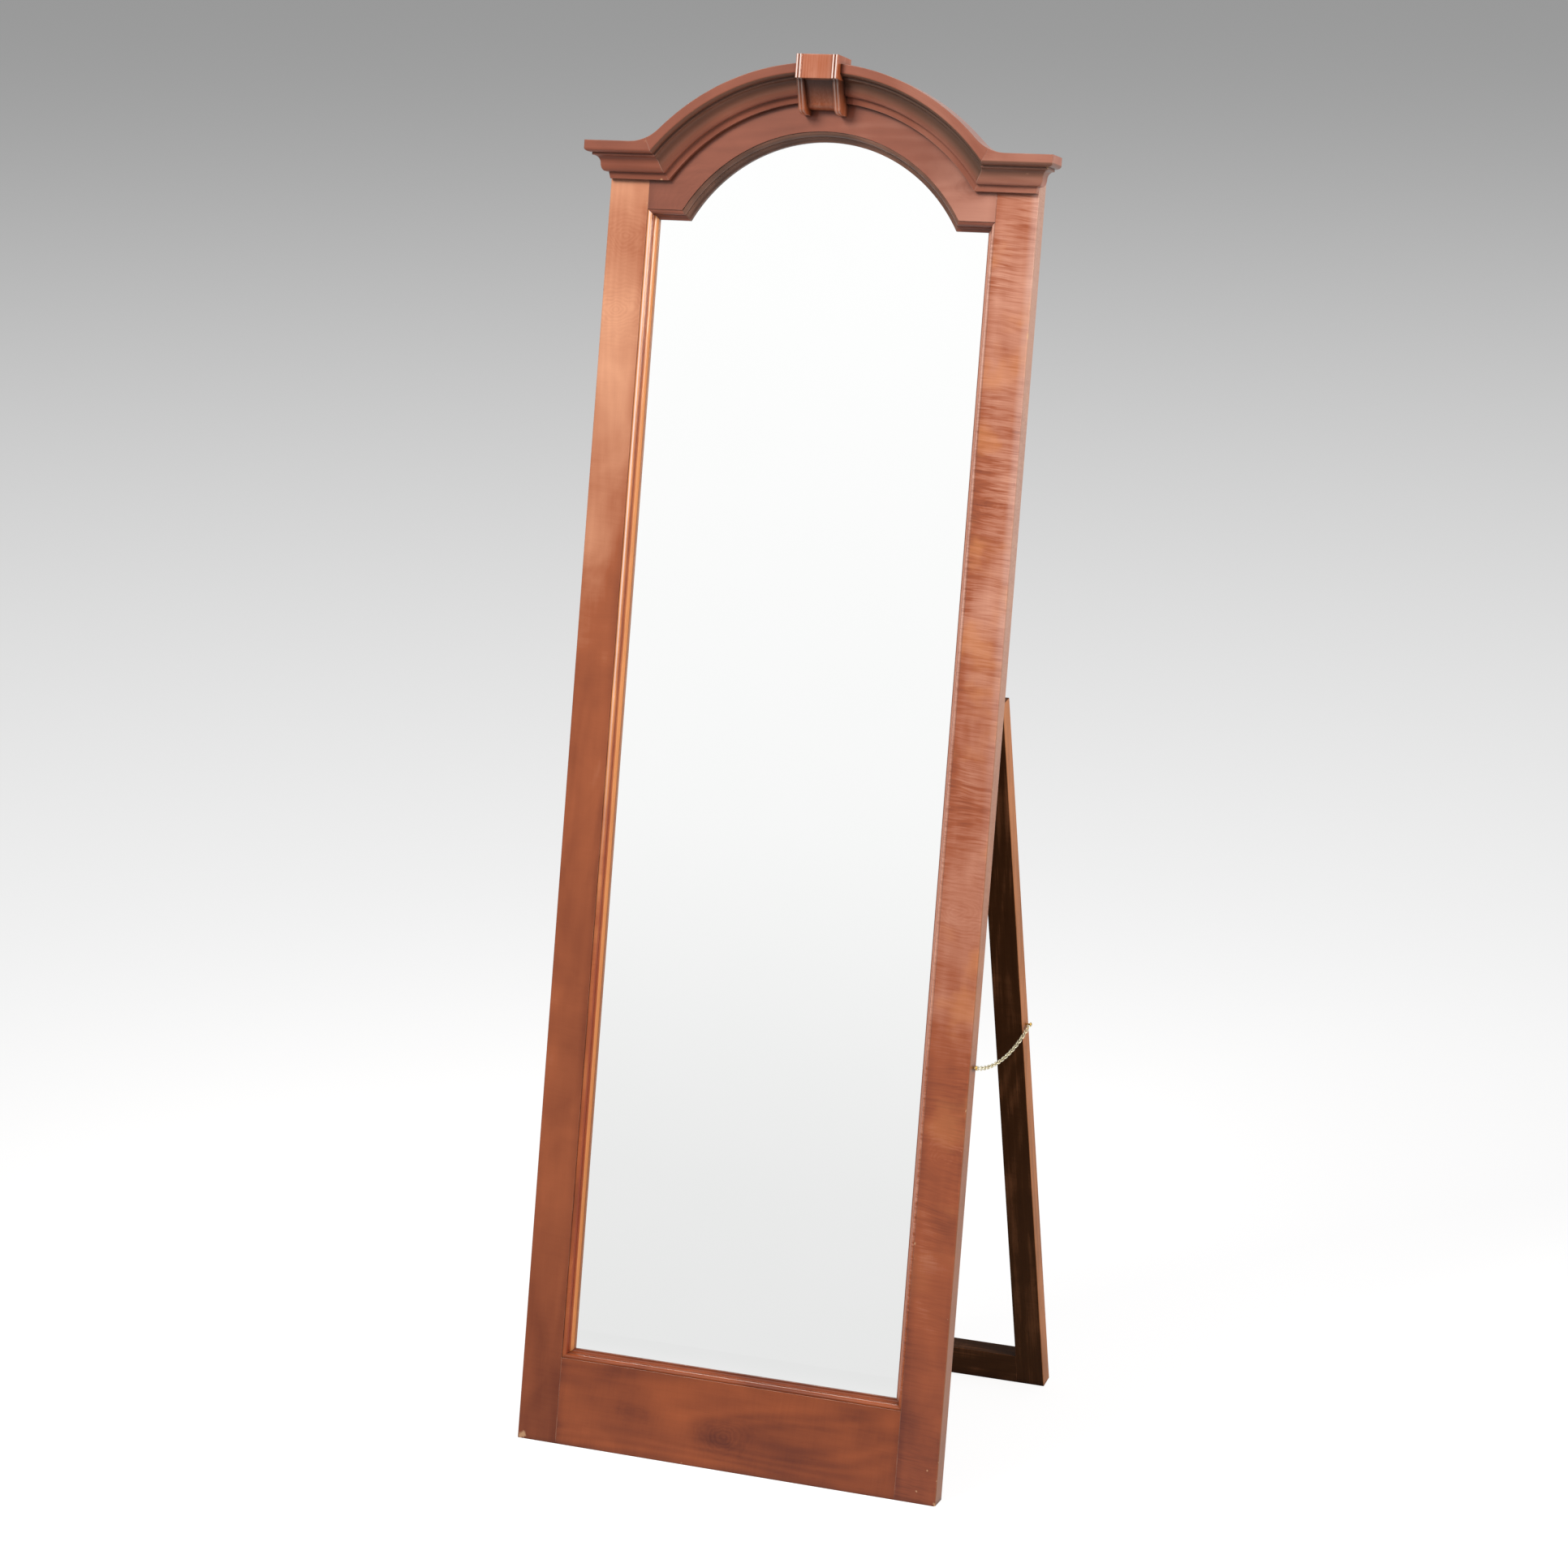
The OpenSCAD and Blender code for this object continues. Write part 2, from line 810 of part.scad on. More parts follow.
module easel_dowel_row(fit) {
    for (p = easel_joints)
        translate([p[0] - dowel_len / 2 - fit, easel_mid, p[1]])
            rotate([0, 90, 0])
                cylinder(r = dowel_r + fit, h = dowel_len + 2 * fit, $fn = small_fn);
}

module leg_2d() {
    soft = 1.5;
    difference() {
        square([leg_w, easel_t]);
        translate([leg_w - soft, 0])
            square(soft);
        translate([leg_w - soft, easel_t - soft])
            square(soft);
    }
    translate([leg_w - soft, soft])
        circle(r = soft, $fn = small_fn);
    translate([leg_w - soft, easel_t - soft])
        circle(r = soft, $fn = small_fn);
}

module leg() {
    difference() {
        translate([leg_inner, face_gap, -leg_len])
            linear_extrude(leg_len - leg_top) leg_2d();
        easel_dowel_row(dowel_fit);
        translate([hinge_x - hinge_len / 2 - leaf_fit, face_gap - eps, -leaf_w - leaf_fit])
            cube([hinge_len + 2 * leaf_fit, leaf_t + leaf_gap / 2 + leaf_fit - face_gap + eps, leaf_w]);
        for (step = [-1, 0, 1])
            translate([hinge_x + step * hinge_screw_step, leaf_gap / 2, -hinge_screw_drop])
                rotate([-90, 0, 0])
                    countersunk_bore(hinge_screw_r, hinge_screw_head_r, leaf_t, hinge_screw_len + 0.5);
    }
}

module easel_left_leg() {
    color(cherry_dark) easel_pose() mirror([1, 0, 0]) leg();
}

module easel_right_leg() {
    color(cherry_dark)
        easel_pose()
            difference() {
                leg();
                translate([leg_outer - chain_screw_bite, easel_mid, -chain_down])
                    rotate([0, 90, 0])
                        cylinder(r = chain_screw_r + screw_fit, h = chain_screw_bite + eps,
                            $fn = small_fn);
            }
}

module easel_rail(top) {
    difference() {
        translate([-leg_inner, face_gap, -top - easel_rail_h])
            cube([2 * leg_inner, easel_t, easel_rail_h]);
        easel_dowel_row(dowel_fit);
    }
}

module easel_top_rail() {
    color(cherry_dark) easel_pose() easel_rail(leg_top);
}

module easel_bottom_rail() {
    color(cherry_dark) easel_pose() easel_rail(leg_len - easel_rail_h);
}

module easel_dowels() {
    color("burlywood") easel_pose() easel_dowel_row(0);
}

// One hinge leaf on the pin at the origin: it hangs down in front of or behind the pin
knuckle_len = hinge_len / 3;

module leaf(dir) {
    difference() {
        translate([-hinge_len / 2, dir > 0 ? leaf_gap / 2 : -leaf_gap / 2 - leaf_t, -leaf_w])
            cube([hinge_len, leaf_t, leaf_w]);
        for (step = [-1, 0, 1])
            translate([step * hinge_screw_step, dir * leaf_gap / 2, -hinge_screw_drop])
                rotate([-dir * 90, 0, 0])
                    countersunk_bore(hinge_screw_r, hinge_screw_head_r, leaf_t, leaf_w);
        rotate([0, 90, 0])
            cylinder(r = pin_r + pin_fit, h = hinge_len + eps, center = true, $fn = small_fn);
    }
}

module knuckle(from, to) {
    translate([from, 0, 0])
        rotate([0, 90, 0])
            difference() {
                cylinder(r = knuckle_r, h = to - from, $fn = small_fn);
                translate([0, 0, -eps])
                    cylinder(r = pin_r + pin_fit, h = to - from + 2 * eps, $fn = small_fn);
            }
}

// A slot that lets the other leaf's knuckle turn past the root of this leaf
module knuckle_slot(from, to) {
    reach = knuckle_r + leaf_fit;
    translate([from, -reach, -reach])
        cube([to - from, 2 * reach, 2 * reach]);
}

module frame_leaf() {
    difference() {
        leaf(-1);
        knuckle_slot(-knuckle_len / 2 - leaf_fit, knuckle_len / 2 + leaf_fit);
    }
    knuckle(-hinge_len / 2, -knuckle_len / 2 - leaf_fit);
    knuckle(knuckle_len / 2 + leaf_fit, hinge_len / 2);
}

module easel_leaf() {
    difference() {
        leaf(1);
        knuckle_slot(-hinge_len / 2 - eps, -knuckle_len / 2);
        knuckle_slot(knuckle_len / 2, hinge_len / 2 + eps);
    }
    knuckle(-knuckle_len / 2, knuckle_len / 2);
}

module at_hinge(side) {
    frame_pose()
        translate([side * hinge_x, hinge_w, hinge_up]) children();
}

module hinge_frame_leaf_left() {
    color(brass) at_hinge(-1) frame_leaf();
}

module hinge_frame_leaf_right() {
    color(brass) at_hinge(1) frame_leaf();
}

module hinge_easel_leaf_left() {
    color(brass) easel_pose() translate([-hinge_x, 0, 0]) easel_leaf();
}

module hinge_easel_leaf_right() {
    color(brass) easel_pose() translate([hinge_x, 0, 0]) easel_leaf();
}

// A pin with a small head past each end of the knuckles
module hinge_pin() {
    rotate([0, 90, 0])
        cylinder(r = pin_r, h = hinge_len + 2 * screw_fit, center = true, $fn = small_fn);
    for (end = [-1, 1])
        translate([end * (hinge_len / 2 + screw_fit), 0, 0])
            rotate([0, end * 90, 0])
                cylinder(r = pin_head_r, h = pin_head_h, $fn = small_fn);
}

module hinge_pin_left() {
    color(brass) at_hinge(-1) hinge_pin();
}

module hinge_pin_right() {
    color(brass) at_hinge(1) hinge_pin();
}

module hinge_screw_row(dir) {
    for (step = [-1, 0, 1])
        translate([step * hinge_screw_step, dir * (leaf_gap / 2 + screw_fit), -hinge_screw_drop])
            rotate([-dir * 90, 0, 0])
                countersunk(hinge_screw_r, hinge_screw_head_r, leaf_t, hinge_screw_len);
}

module hinge_frame_screws() {
    color(brass)
        for (side = [-1, 1])
            at_hinge(side) hinge_screw_row(-1);
}

module hinge_easel_screws() {
    color(brass)
        easel_pose()
            for (side = [-1, 1])
                translate([side * hinge_x, 0, 0]) hinge_screw_row(1);
}

// A round headed screw along +X: its head is past the end link of the chain
module chain_screw(wood_x) {
    translate([wood_x - chain_screw_bite + 0.5, 0, 0])
        rotate([0, 90, 0])
            rotate_extrude($fn = small_fn)
                polygon(concat(
                    [[0, 0], [chain_screw_r, 1.5],
                        [chain_screw_r, screw_end_x - wood_x + chain_screw_bite - 0.5]],
                    quarter(0, screw_end_x - wood_x + chain_screw_bite - 0.5,
                        chain_screw_head_r, chain_screw_head_h, 0, 90)
                ));
}

module chain_frame_screw() {
    color(brass)
        frame_pose()
            translate([0, frame_screw_w, chain_up])
                chain_screw(frame_w / 2);
}

module chain_leg_screw() {
    color(brass)
        easel_pose()
            translate([0, easel_mid, -chain_down])
                chain_screw(leg_outer);
}

// One link, lying along Y with its flat side to X
module link() {
    for (end = [-1, 1])
        translate([0, end * link_flat, 0])
            rotate([0, 90, 0])
                rotate([0, 0, end > 0 ? 0 : 180])
                    rotate_extrude(angle = 180, $fn = small_fn)
                        translate([bend_r, 0])
                            circle(r = wire_r, $fn = 16);
    for (side = [-1, 1])
        translate([0, 0, side * bend_r])
            rotate([90, 0, 0])
                cylinder(r = wire_r, h = 2 * link_flat, center = true, $fn = 16);
}

// Links from one number to another, counted from the frame, every second one turned on edge
module links(first, last) {
    for (i = [first:last]) {
        a = -sag_half + end_angle + (i - 1) * step_angle;
        translate([chain_x, chain_mid[0], chain_mid[1]])
            rotate([chord_tilt + a, 0, 0])
                translate([0, 0, -sag_r])
                    rotate([0, (i % 2 == 1) ? 0 : 90, 0]) link();
    }
}

module chain_front_run() {
    color(brass) links(1, front_count);
}

module chain_rear_run() {
    color(brass) links(front_count + 1, link_count);
}

left_stile();
right_stile();
top_rail();
bottom_rail();
frame_dowels();
crown_arch_left();
crown_arch_right();
crown_shoulder_left();
crown_shoulder_right();
crown_return_left();
crown_return_right();
crown_screws();
keystone_block();
keystone_left_cheek();
keystone_right_cheek();
sight_left();
sight_right();
sight_bottom();
sight_shoulder_left();
sight_shoulder_right();
sight_arch();
mirror_plate();
backing_board();
backing_screws();
easel_left_leg();
easel_right_leg();
easel_top_rail();
easel_bottom_rail();
easel_dowels();
hinge_frame_leaf_left();
hinge_frame_leaf_right();
hinge_easel_leaf_left();
hinge_easel_leaf_right();
hinge_pin_left();
hinge_pin_right();
hinge_frame_screws();
hinge_easel_screws();
chain_frame_screw();
chain_leg_screw();
chain_front_run();
chain_rear_run();
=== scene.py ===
"""An arched floor mirror that leans on a folding easel: its finishes, its chain and its screws."""
from functools import partial
from math import asin, atan2, cos, floor, hypot, pi, radians, sin

import bmesh
import bpy
from mathutils import Matrix, Vector


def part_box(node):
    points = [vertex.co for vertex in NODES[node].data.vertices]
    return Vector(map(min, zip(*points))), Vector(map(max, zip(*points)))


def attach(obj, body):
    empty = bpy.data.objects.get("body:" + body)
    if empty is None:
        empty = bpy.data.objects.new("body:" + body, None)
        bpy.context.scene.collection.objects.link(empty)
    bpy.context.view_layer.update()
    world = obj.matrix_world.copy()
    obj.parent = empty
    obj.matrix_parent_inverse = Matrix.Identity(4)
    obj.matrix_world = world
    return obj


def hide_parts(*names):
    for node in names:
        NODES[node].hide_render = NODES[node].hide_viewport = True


bl_info = {
    "name": "Arched Floor Mirror",
    "version": (1, 0, 0),
    "blender": (4, 5, 0),
    "location": "3D View > Sidebar > Floor Mirror",
    "description": "Wood, glass and brass finishes of a floor mirror, with its chain and screws",
    "category": "Object",
}

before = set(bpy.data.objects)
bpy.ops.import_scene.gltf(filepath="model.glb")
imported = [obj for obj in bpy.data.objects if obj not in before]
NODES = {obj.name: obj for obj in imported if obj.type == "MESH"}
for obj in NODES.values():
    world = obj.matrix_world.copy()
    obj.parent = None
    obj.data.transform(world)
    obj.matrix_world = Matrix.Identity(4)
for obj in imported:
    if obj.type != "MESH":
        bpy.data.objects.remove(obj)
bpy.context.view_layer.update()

MM = 0.001
FRAME_LEAN = radians(11.6)
EASEL_LEAN = radians(-11.6)
# From the origin down to the foot of the frame, measured along the frame
FOOT = -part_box("bottom_rail")[0].y * sin(FRAME_LEAN)
# How high the centre of the arch is, measured along the frame from its foot
ARCH_CENTRE = 1708 * MM
# How far from the middle the outer sides and the seams of the boards are, and the reeds
STILE_EDGE = 334 * MM
LEG_EDGE = 331 * MM
SEAM = 271 * MM
REED_CRESTS = (25.4 * MM, 30.1 * MM)
# How high the top lip of the crown and the cap of the keystone are in themselves
LIP = 12 * MM
CAP = 34.5 * MM


def linear(code):
    """Turns an sRGB hex colour into the linear one that the nodes take."""
    parts = [int(code[i:i + 2], 16) / 255 for i in (1, 3, 5)]
    return tuple(p / 12.92 if p <= 0.04045 else ((p + 0.055) / 1.055) ** 2.4 for p in parts)


# The crown and the rail under it took a duller, pinker stain than the stiles
MUTED = {"light": linear("#CC927E"), "middle": linear("#935643"), "dark": linear("#592F23")}


def colour(name, description, code):
    return bpy.props.FloatVectorProperty(
        name=name, description=description, subtype="COLOR", size=3, min=0, max=1,
        default=linear(code))


def length(name, description, millimetres):
    return bpy.props.FloatProperty(
        name=name, description=description, unit="LENGTH", min=0, default=millimetres * MM)


def share(name, description, default):
    return bpy.props.FloatProperty(
        name=name, description=description, subtype="FACTOR", min=0, max=1, default=default)


class MirrorWood(bpy.types.PropertyGroup):
    salmon: colour("Salmon", "Lightest clouds of the stained cherry", "#E6A784")
    orange: colour("Orange", "Middle tone of the stained cherry", "#A5552F")
    umber: colour("Umber", "Dark clouds and curl stripes of the stained cherry", "#5C271A")
    # Painted shade: the easel's stain is darkened to stand in for the shade behind the frame
    shade: colour("Shade", "Stain of the easel behind the frame", "#51331E")
    # Painted shade as well as polish and dust: this colour darkens the inner corners and the
    # keystone's panel under its cap
    polish_and_shade: colour("Old polish", "Polish and dust in the inner corners", "#2B1710")
    bare: colour("Bare wood", "Where the lacquer is chipped at a corner", "#D9AE86")
    curl_pitch: length("Curl pitch", "Distance between two stripes of the curly figure", 9)
    fibre: length("Fibre", "Width of one streak of the grain", 1.1)
    gloss: share("Gloss", "Strength of the lacquer over the stain", 0.35)
    # How strongly the inner corners are darkened, as painted shade and old polish
    grime: share("Grime", "Strength of the old polish in the corners", 0.7)


class MirrorMetal(bpy.types.PropertyGroup):
    brass: colour("Brass", "Bright brass of hinges and screws", "#C9A458")
    tarnish: colour("Tarnish", "Where the brass has gone dull", "#7D5F30")
    pale_brass: colour("Pale brass", "Plating of the chain", "#E4DCBE")


class MirrorBack(bpy.types.PropertyGroup):
    board: colour("Hardboard", "Pressed fibres of the backing board", "#7B5436")
    board_dark: colour("Dark fibres", "Flecks in the backing board", "#4C321F")
    beech: colour("Beech", "Dowels", "#C9A478")


class MirrorChain(bpy.types.PropertyGroup):
    sag: length("Sag", "Sag of the chain between its screws", 20)
    wire: length("Wire", "Diameter of the wire", 1.6)
    inside: length("Inside width", "Inside width of a link", 3.4)
    pitch: length("Pitch", "Least distance from link to link", 7.5)
    play: length("Play", "Clearance of a link on the next", 0.3)
    screw: length("Screw", "Radius of the screws that carry the chain", 1.4)


class MirrorScrews(bpy.types.PropertyGroup):
    recess: share("Recess", "Reach of the cross recess, as a share of the head", 0.6)
    turn_seed: bpy.props.IntProperty(
        name="Turn seed", description="Seed for how far each screw is turned", default=7, min=0)


class MirrorStage(bpy.types.PropertyGroup):
    near: colour("Near floor", "Floor round the mirror", "#FFFFFF")
    far: colour("Far floor", "Floor at the back of the studio", "#989898")
    mirrored: colour("Mirrored floor", "Far floor as glass and metal show it", "#E6E6E6")
    radius: bpy.props.FloatProperty(
        name="Radius", description="Radius of the studio floor", unit="LENGTH", default=90, min=5)
    key: bpy.props.FloatProperty(
        name="Key", description="Power of the soft box over the front", unit="POWER",
        default=205, min=0)
    side: bpy.props.FloatProperty(
        name="Side", description="Power of the soft box on the right", unit="POWER",
        default=90, min=0)
    ambient: share("Ambient", "Strength of the light from all round", 0.28)


# What a node of these kinds is set to where its call says nothing else
USUAL = {
    "Math": {"operation": "MULTIPLY"},
    "VectorMath": {"operation": "MULTIPLY"},
    "MapRange": {"interpolation_type": "SMOOTHSTEP"},
    "Mix": {"data_type": "RGBA"},
}


def node(tree, kind, *values, **settings):
    """Adds a node with its settings and links.

    The values go to its inputs in order, or by name where they are one dict. A value may be
    plain, a socket or another node, and a list links all that it holds to the same input.
    """
    made = tree.nodes.new(kind if "Node" in kind else f"ShaderNode{kind}")
    for key, value in {**USUAL.get(kind, {}), **settings}.items():
        setattr(made, key, value)
    if not (values and isinstance(values[0], dict)):
        in_use = [number for number, socket in enumerate(made.inputs) if socket.enabled]
        values = [dict(zip(in_use, values))]
    for key, value in values[0].items():
        for source in value if isinstance(value, list) else [value]:
            if isinstance(source, bpy.types.Node):
                source = next(socket for socket in source.outputs if socket.enabled)
            if isinstance(source, bpy.types.NodeSocket):
                tree.links.new(source, made.inputs[key])
            else:
                made.inputs[key].default_value = source
    return made


def rgba(value):
    return (*value, 1)


def new_material(name):
    """A material without nodes, and the function that adds them to it."""
    material = bpy.data.materials.new(name)
    material.use_nodes = True
    material.node_tree.nodes.clear()
    return material, partial(node, material.node_tree)


def board_place(add, lean, along="up", offset=(0, 0, 0)):
    """Object coordinates turned so that a board's grain runs along Z and its width along X."""
    turn = (lean, pi / 2 if along == "across" else 0, 0)
    return add("Mapping", {"Vector": add("TexCoord").outputs["Object"],
                           "Rotation": turn, "Location": offset})


def veneer_group():
    """Curly cherry: clouds of stain, growth rings, curl across the grain, fibres and pores."""
    tree = bpy.data.node_groups.new("Curly cherry", "ShaderNodeTree")
    sockets = [
        ("Place", "Vector"), ("Light", "Color"), ("Middle", "Color"), ("Dark", "Color"),
        ("Seed", "Float"), ("Tone", "Float"), ("Cloud size", "Float"), ("Clouds", "Float"),
        ("Ring width", "Float"), ("Rings", "Float"), ("Curl pitch", "Float"), ("Curl", "Float"),
        ("Fibre", "Float"), ("Grain", "Float"),
    ]
    for name, kind in sockets:
        tree.interface.new_socket(name, in_out="INPUT", socket_type=f"NodeSocket{kind}")
    for name, kind in (("Colour", "Color"), ("Gloss", "Float"), ("Height", "Float")):
        tree.interface.new_socket(name, in_out="OUTPUT", socket_type=f"NodeSocket{kind}")
    use = tree.nodes.new("NodeGroupInput").outputs
    add = partial(node, tree)

    def layer(stretch, count, per=None, detail=2, roughness=0.5, distortion=0.0, place=None):
        """Noise for one layer of the figure, stretched along the board: count cells per size."""
        place = place or use["Place"]
        return add("TexNoise", {
            "Vector": add("VectorMath", place, stretch) if stretch else place,
            "Scale": add("Math", count, per, operation="DIVIDE") if per else count,
            "W": use["Seed"], "Detail": detail, "Roughness": roughness,
            "Distortion": distortion}, noise_dimensions="4D")

    def centred(value, strength):
        return add("Math", add("Math", value, 0.5, operation="SUBTRACT"), strength)

    # Blotches where the stain has soaked in more, longer along the grain, some of them slanting
    cloud = layer((1, 1, 0.75), 1, use["Cloud size"], detail=3, distortion=0.5)
    slant = add("Mapping", {"Vector": use["Place"], "Rotation": (0, radians(35), 0),
                            "Scale": (1, 1, 0.35)})
    drift = layer(None, 1.6, use["Cloud size"], roughness=0.45, distortion=0.2, place=slant)
    clouds = add("Math", centred(cloud, 2.6), centred(drift, 1.6), operation="ADD")

    # Growth rings of a flat sawn board: long pointed arches that close into loops
    slow = layer((1, 1, 0.2), 7.0, detail=1, roughness=0.4, distortion=0.5)
    phase = add("Math", add("Math", slow, 1.4), use["Ring width"], operation="DIVIDE")
    rings = add("Math", add("Math", phase, operation="SINE"), use["Rings"])

    # Curl: uneven dark bars across the grain, which come and go, wander and lean a little
    wander = layer(None, 9.0)
    x, y, z = add("SeparateXYZ", use["Place"]).outputs
    lean = add("Math", x, 0.08, z, operation="MULTIPLY_ADD")
    bent = add("CombineXYZ", x, y, add("Math", wander, 0.02, lean, operation="MULTIPLY_ADD"))
    bars = layer((0.08, 0.3, 1), 2.2, use["Curl pitch"], roughness=0.55, place=bent)
    hairs = layer((0.05, 0.3, 1), 5.0, use["Curl pitch"], roughness=0.6, place=bent)
    bars = add("Math", add("MapRange", bars, 0.4, 0.72), centred(hairs, -2.6), operation="ADD")
    patchy = add("MapRange", layer((1, 1, 0.55), 11.0), 0.36, 0.6)
    patchy = add("Math", patchy, 0.6, 0.4, operation="MULTIPLY_ADD")
    curls = add("Math", add("Math", bars, patchy), use["Curl"])

    # Fibres, many times longer than they are wide, and short dark pores between them
    fibres = layer((1, 1, 0.02), 0.6, use["Fibre"], detail=3, roughness=0.6)
    streaks = layer((1, 1, 0.03), 0.14, use["Fibre"], roughness=0.6)
    pores = add("MapRange", layer((1, 1, 0.1), 0.8, use["Fibre"], detail=1), 0.64, 0.74)
    grain = add("Math", centred(fibres, 0.9), centred(streaks, 1.1), operation="ADD")
    grain = add("Math", grain, add("Math", pores, 0.4), operation="SUBTRACT")
    grain = add("Math", grain, use["Grain"])

    tone = add("Math", clouds, use["Clouds"], use["Tone"], operation="MULTIPLY_ADD")
    tone = add("Math", tone, rings, operation="ADD")
    tone = add("Math", tone, add("Math", grain, curls, operation="SUBTRACT"), operation="ADD")
    darker = add("MapRange", tone, 0.5, 0.0, interpolation_type="LINEAR")
    lighter = add("MapRange", tone, 0.5, 1.0, interpolation_type="LINEAR")
    base = add("Mix", darker, use["Middle"], use["Dark"])
    base = add("Mix", lighter, base, use["Light"])

    gloss = add("MapRange", fibres, 0.3, 0.7, 0.32, 0.46, interpolation_type="LINEAR")
    height = add("Math", add("Math", fibres, 0.5), add("Math", pores, -0.5), operation="ADD")
    add("NodeGroupOutput", {"Colour": base, "Gloss": gloss, "Height": height})
    return tree


def stained_wood(name, lean, along="up", arch=0.0, seed=0.0, light=None, middle=None, dark=None,
                 tones=(0.5, 0.5), fade=(0.0, 1.95), foot_shade=0.0, right=0.0, seams=0.0, chips=0.0,
                 side=0.0, gloss=None, sheen=0.12, grime=None, painted_gloss_line=0.0, bead=None, cap=None,
                 lip=None, flank=None, glow=None, knots_and_painted_light=(), knocks=(), worn=None, **pattern):
    """Stained cherry under satin lacquer: streaks of fibre, an even sheen, worn edges, and light,
    shade and highlights painted into its colour.

    Its tone, its gloss and what else has two values go from the foot's to the top's over fade.
    A knot has its place across, its height, its reach and how dark it is, a knock the first three.
    """
    wood = bpy.context.scene.mirror_wood
    material, add = new_material(name)
    light = light or wood.salmon

    def band(value, start, full, end, gone):
        """1 from full to end, and 0 before start and after gone."""
        return add("Math", add("MapRange", value, start, full), add("MapRange", value, gone, end))

    upright = board_place(add, lean, offset=(0, 0, FOOT))
    x, y, high = add("SeparateXYZ", upright).outputs
    away = add("Math", x, operation="ABSOLUTE")
    place, rise = board_place(add, lean, along), high
    if arch:
        # The moulding is bent or turned, so its grain follows the arch round its centre
        up = add("Math", high, arch, operation="SUBTRACT")
        rise = add("Math", add("Math", x, x), add("Math", up, up), operation="ADD")
        rise = add("Math", rise, operation="SQRT")
        turn = add("Math", add("Math", x, up, operation="ARCTAN2"), 0.3)
        place = add("CombineXYZ", rise, y, turn)

    # Paler towards the top: partly the stain, and partly painted light for the light and sheen
    # that fall more strongly high up
    tone = add("MapRange", high, *fade, *tones)
    if foot_shade:
        # Painted shade: low down the stain is darkened, where less light falls
        tone = add("Math", tone, add("MapRange", high, 0.0, 0.4, foot_shade, 0.0), operation="SUBTRACT")
    if right:
        # Painted light: the right side is paler, where more light and sheen fall from the right
        tone = add("Math", tone, add("MapRange", x, 0.0, 0.3, 0.0, right), operation="ADD")
    if side:
        # Painted light: the outer sides are paler, as lit from the side
        side_light = add("MapRange", away, side - 1.2 * MM, side - 0.4 * MM, 0.0, 0.45)
        tone = add("Math", tone, side_light, operation="ADD")
    if seams:
        # The stain is darker within 14 mm of the joints and of the moulding round the glass
        gap = add("Math", add("Math", away, seams, operation="SUBTRACT"), operation="ABSOLUTE")
        tone = add("Math", tone, add("MapRange", gap, 0.0, 14 * MM, 0.1, 0.0),
                   operation="SUBTRACT")
    for knot_x, knot_high, reach, depth in knots_and_painted_light:
        # The grain swirls round a knot in rings 6 to 10 mm apart, and the stain is darker over
        # it, or paler where its depth is below 0
        aside = add("Math", add("Math", x, knot_x, operation="SUBTRACT"), 0.6)
        above = add("Math", high, knot_high, operation="SUBTRACT")
        apart = add("Math", add("Math", aside, aside), add("Math", above, above), operation="ADD")
        apart = add("Math", apart, operation="SQRT")
        uneven = add("TexNoise", {"Vector": place, "Scale": 30.0, "Detail": 2.0})
        uneven = add("Math", add("Math", uneven, 0.5, operation="SUBTRACT"), 0.03)
        apart = add("Math", apart, uneven, operation="ADD")
        swirl = add("Math", add("Math", apart, 1100.0), operation="SINE")
        stained = add("Math", add("MapRange", apart, 0.0, reach, 1.0, 0.0),
                      add("Math", swirl, 0.16, 1.0, operation="MULTIPLY_ADD"))
        tone = add("Math", tone, add("Math", stained, depth), operation="SUBTRACT")

    look = {"Cloud size": 0.09, "Clouds": 0.3, "Rings": 0.04, "Ring width": 0.012, "Curl": 0.1,
            "Grain": 0.3, **pattern}
    for key, value in look.items():
        if isinstance(value, tuple):
            look[key] = add("MapRange", high, *fade, *value)
    veneer = add("Group", {
        "Place": place, "Tone": tone, "Seed": seed, "Light": rgba(light),
        "Middle": rgba(middle or wood.orange), "Dark": rgba(dark or wood.umber),
        "Curl pitch": wood.curl_pitch, "Fibre": wood.fibre, **look,
    }, node_tree=bpy.data.node_groups.get("Curly cherry") or veneer_group())
    paint = veneer.outputs["Colour"]
    if glow:
        # Bright orange patches where the wood shows through the stain, and partly painted
        # highlight: they grow towards the top, where the light falls
        clear = add("TexNoise", {"Vector": place, "Scale": 14.0, "Detail": 3.0})
        clear = add("Math", add("MapRange", clear, 0.5, 0.7, 0.0, 0.45),
                    add("MapRange", high, 0.1, 0.9))
        paint = add("Mix", clear, paint, rgba(glow))
    if lip:
        # Painted shade: the hollow right under the lip is darkened, most of all on the right
        lip, at_left, at_right = lip
        lip_shade = band(rise, lip - 33 * MM, lip - 12 * MM, lip, lip + MM)
        lip_shade = add("Math", lip_shade, add("MapRange", x, -0.25, 0.25, at_left, at_right))
        paint = add("Mix", lip_shade, paint, rgba(linear("#4B3A2D")))
    if flank:
        # The outer sides, where the stain went on thin, are a duller brown
        thin = add("MapRange", away, STILE_EDGE - 1.2 * MM, STILE_EDGE - 0.3 * MM, 0.0, 0.6)
        paint = add("Mix", thin, paint, rgba(flank))
    if bead:
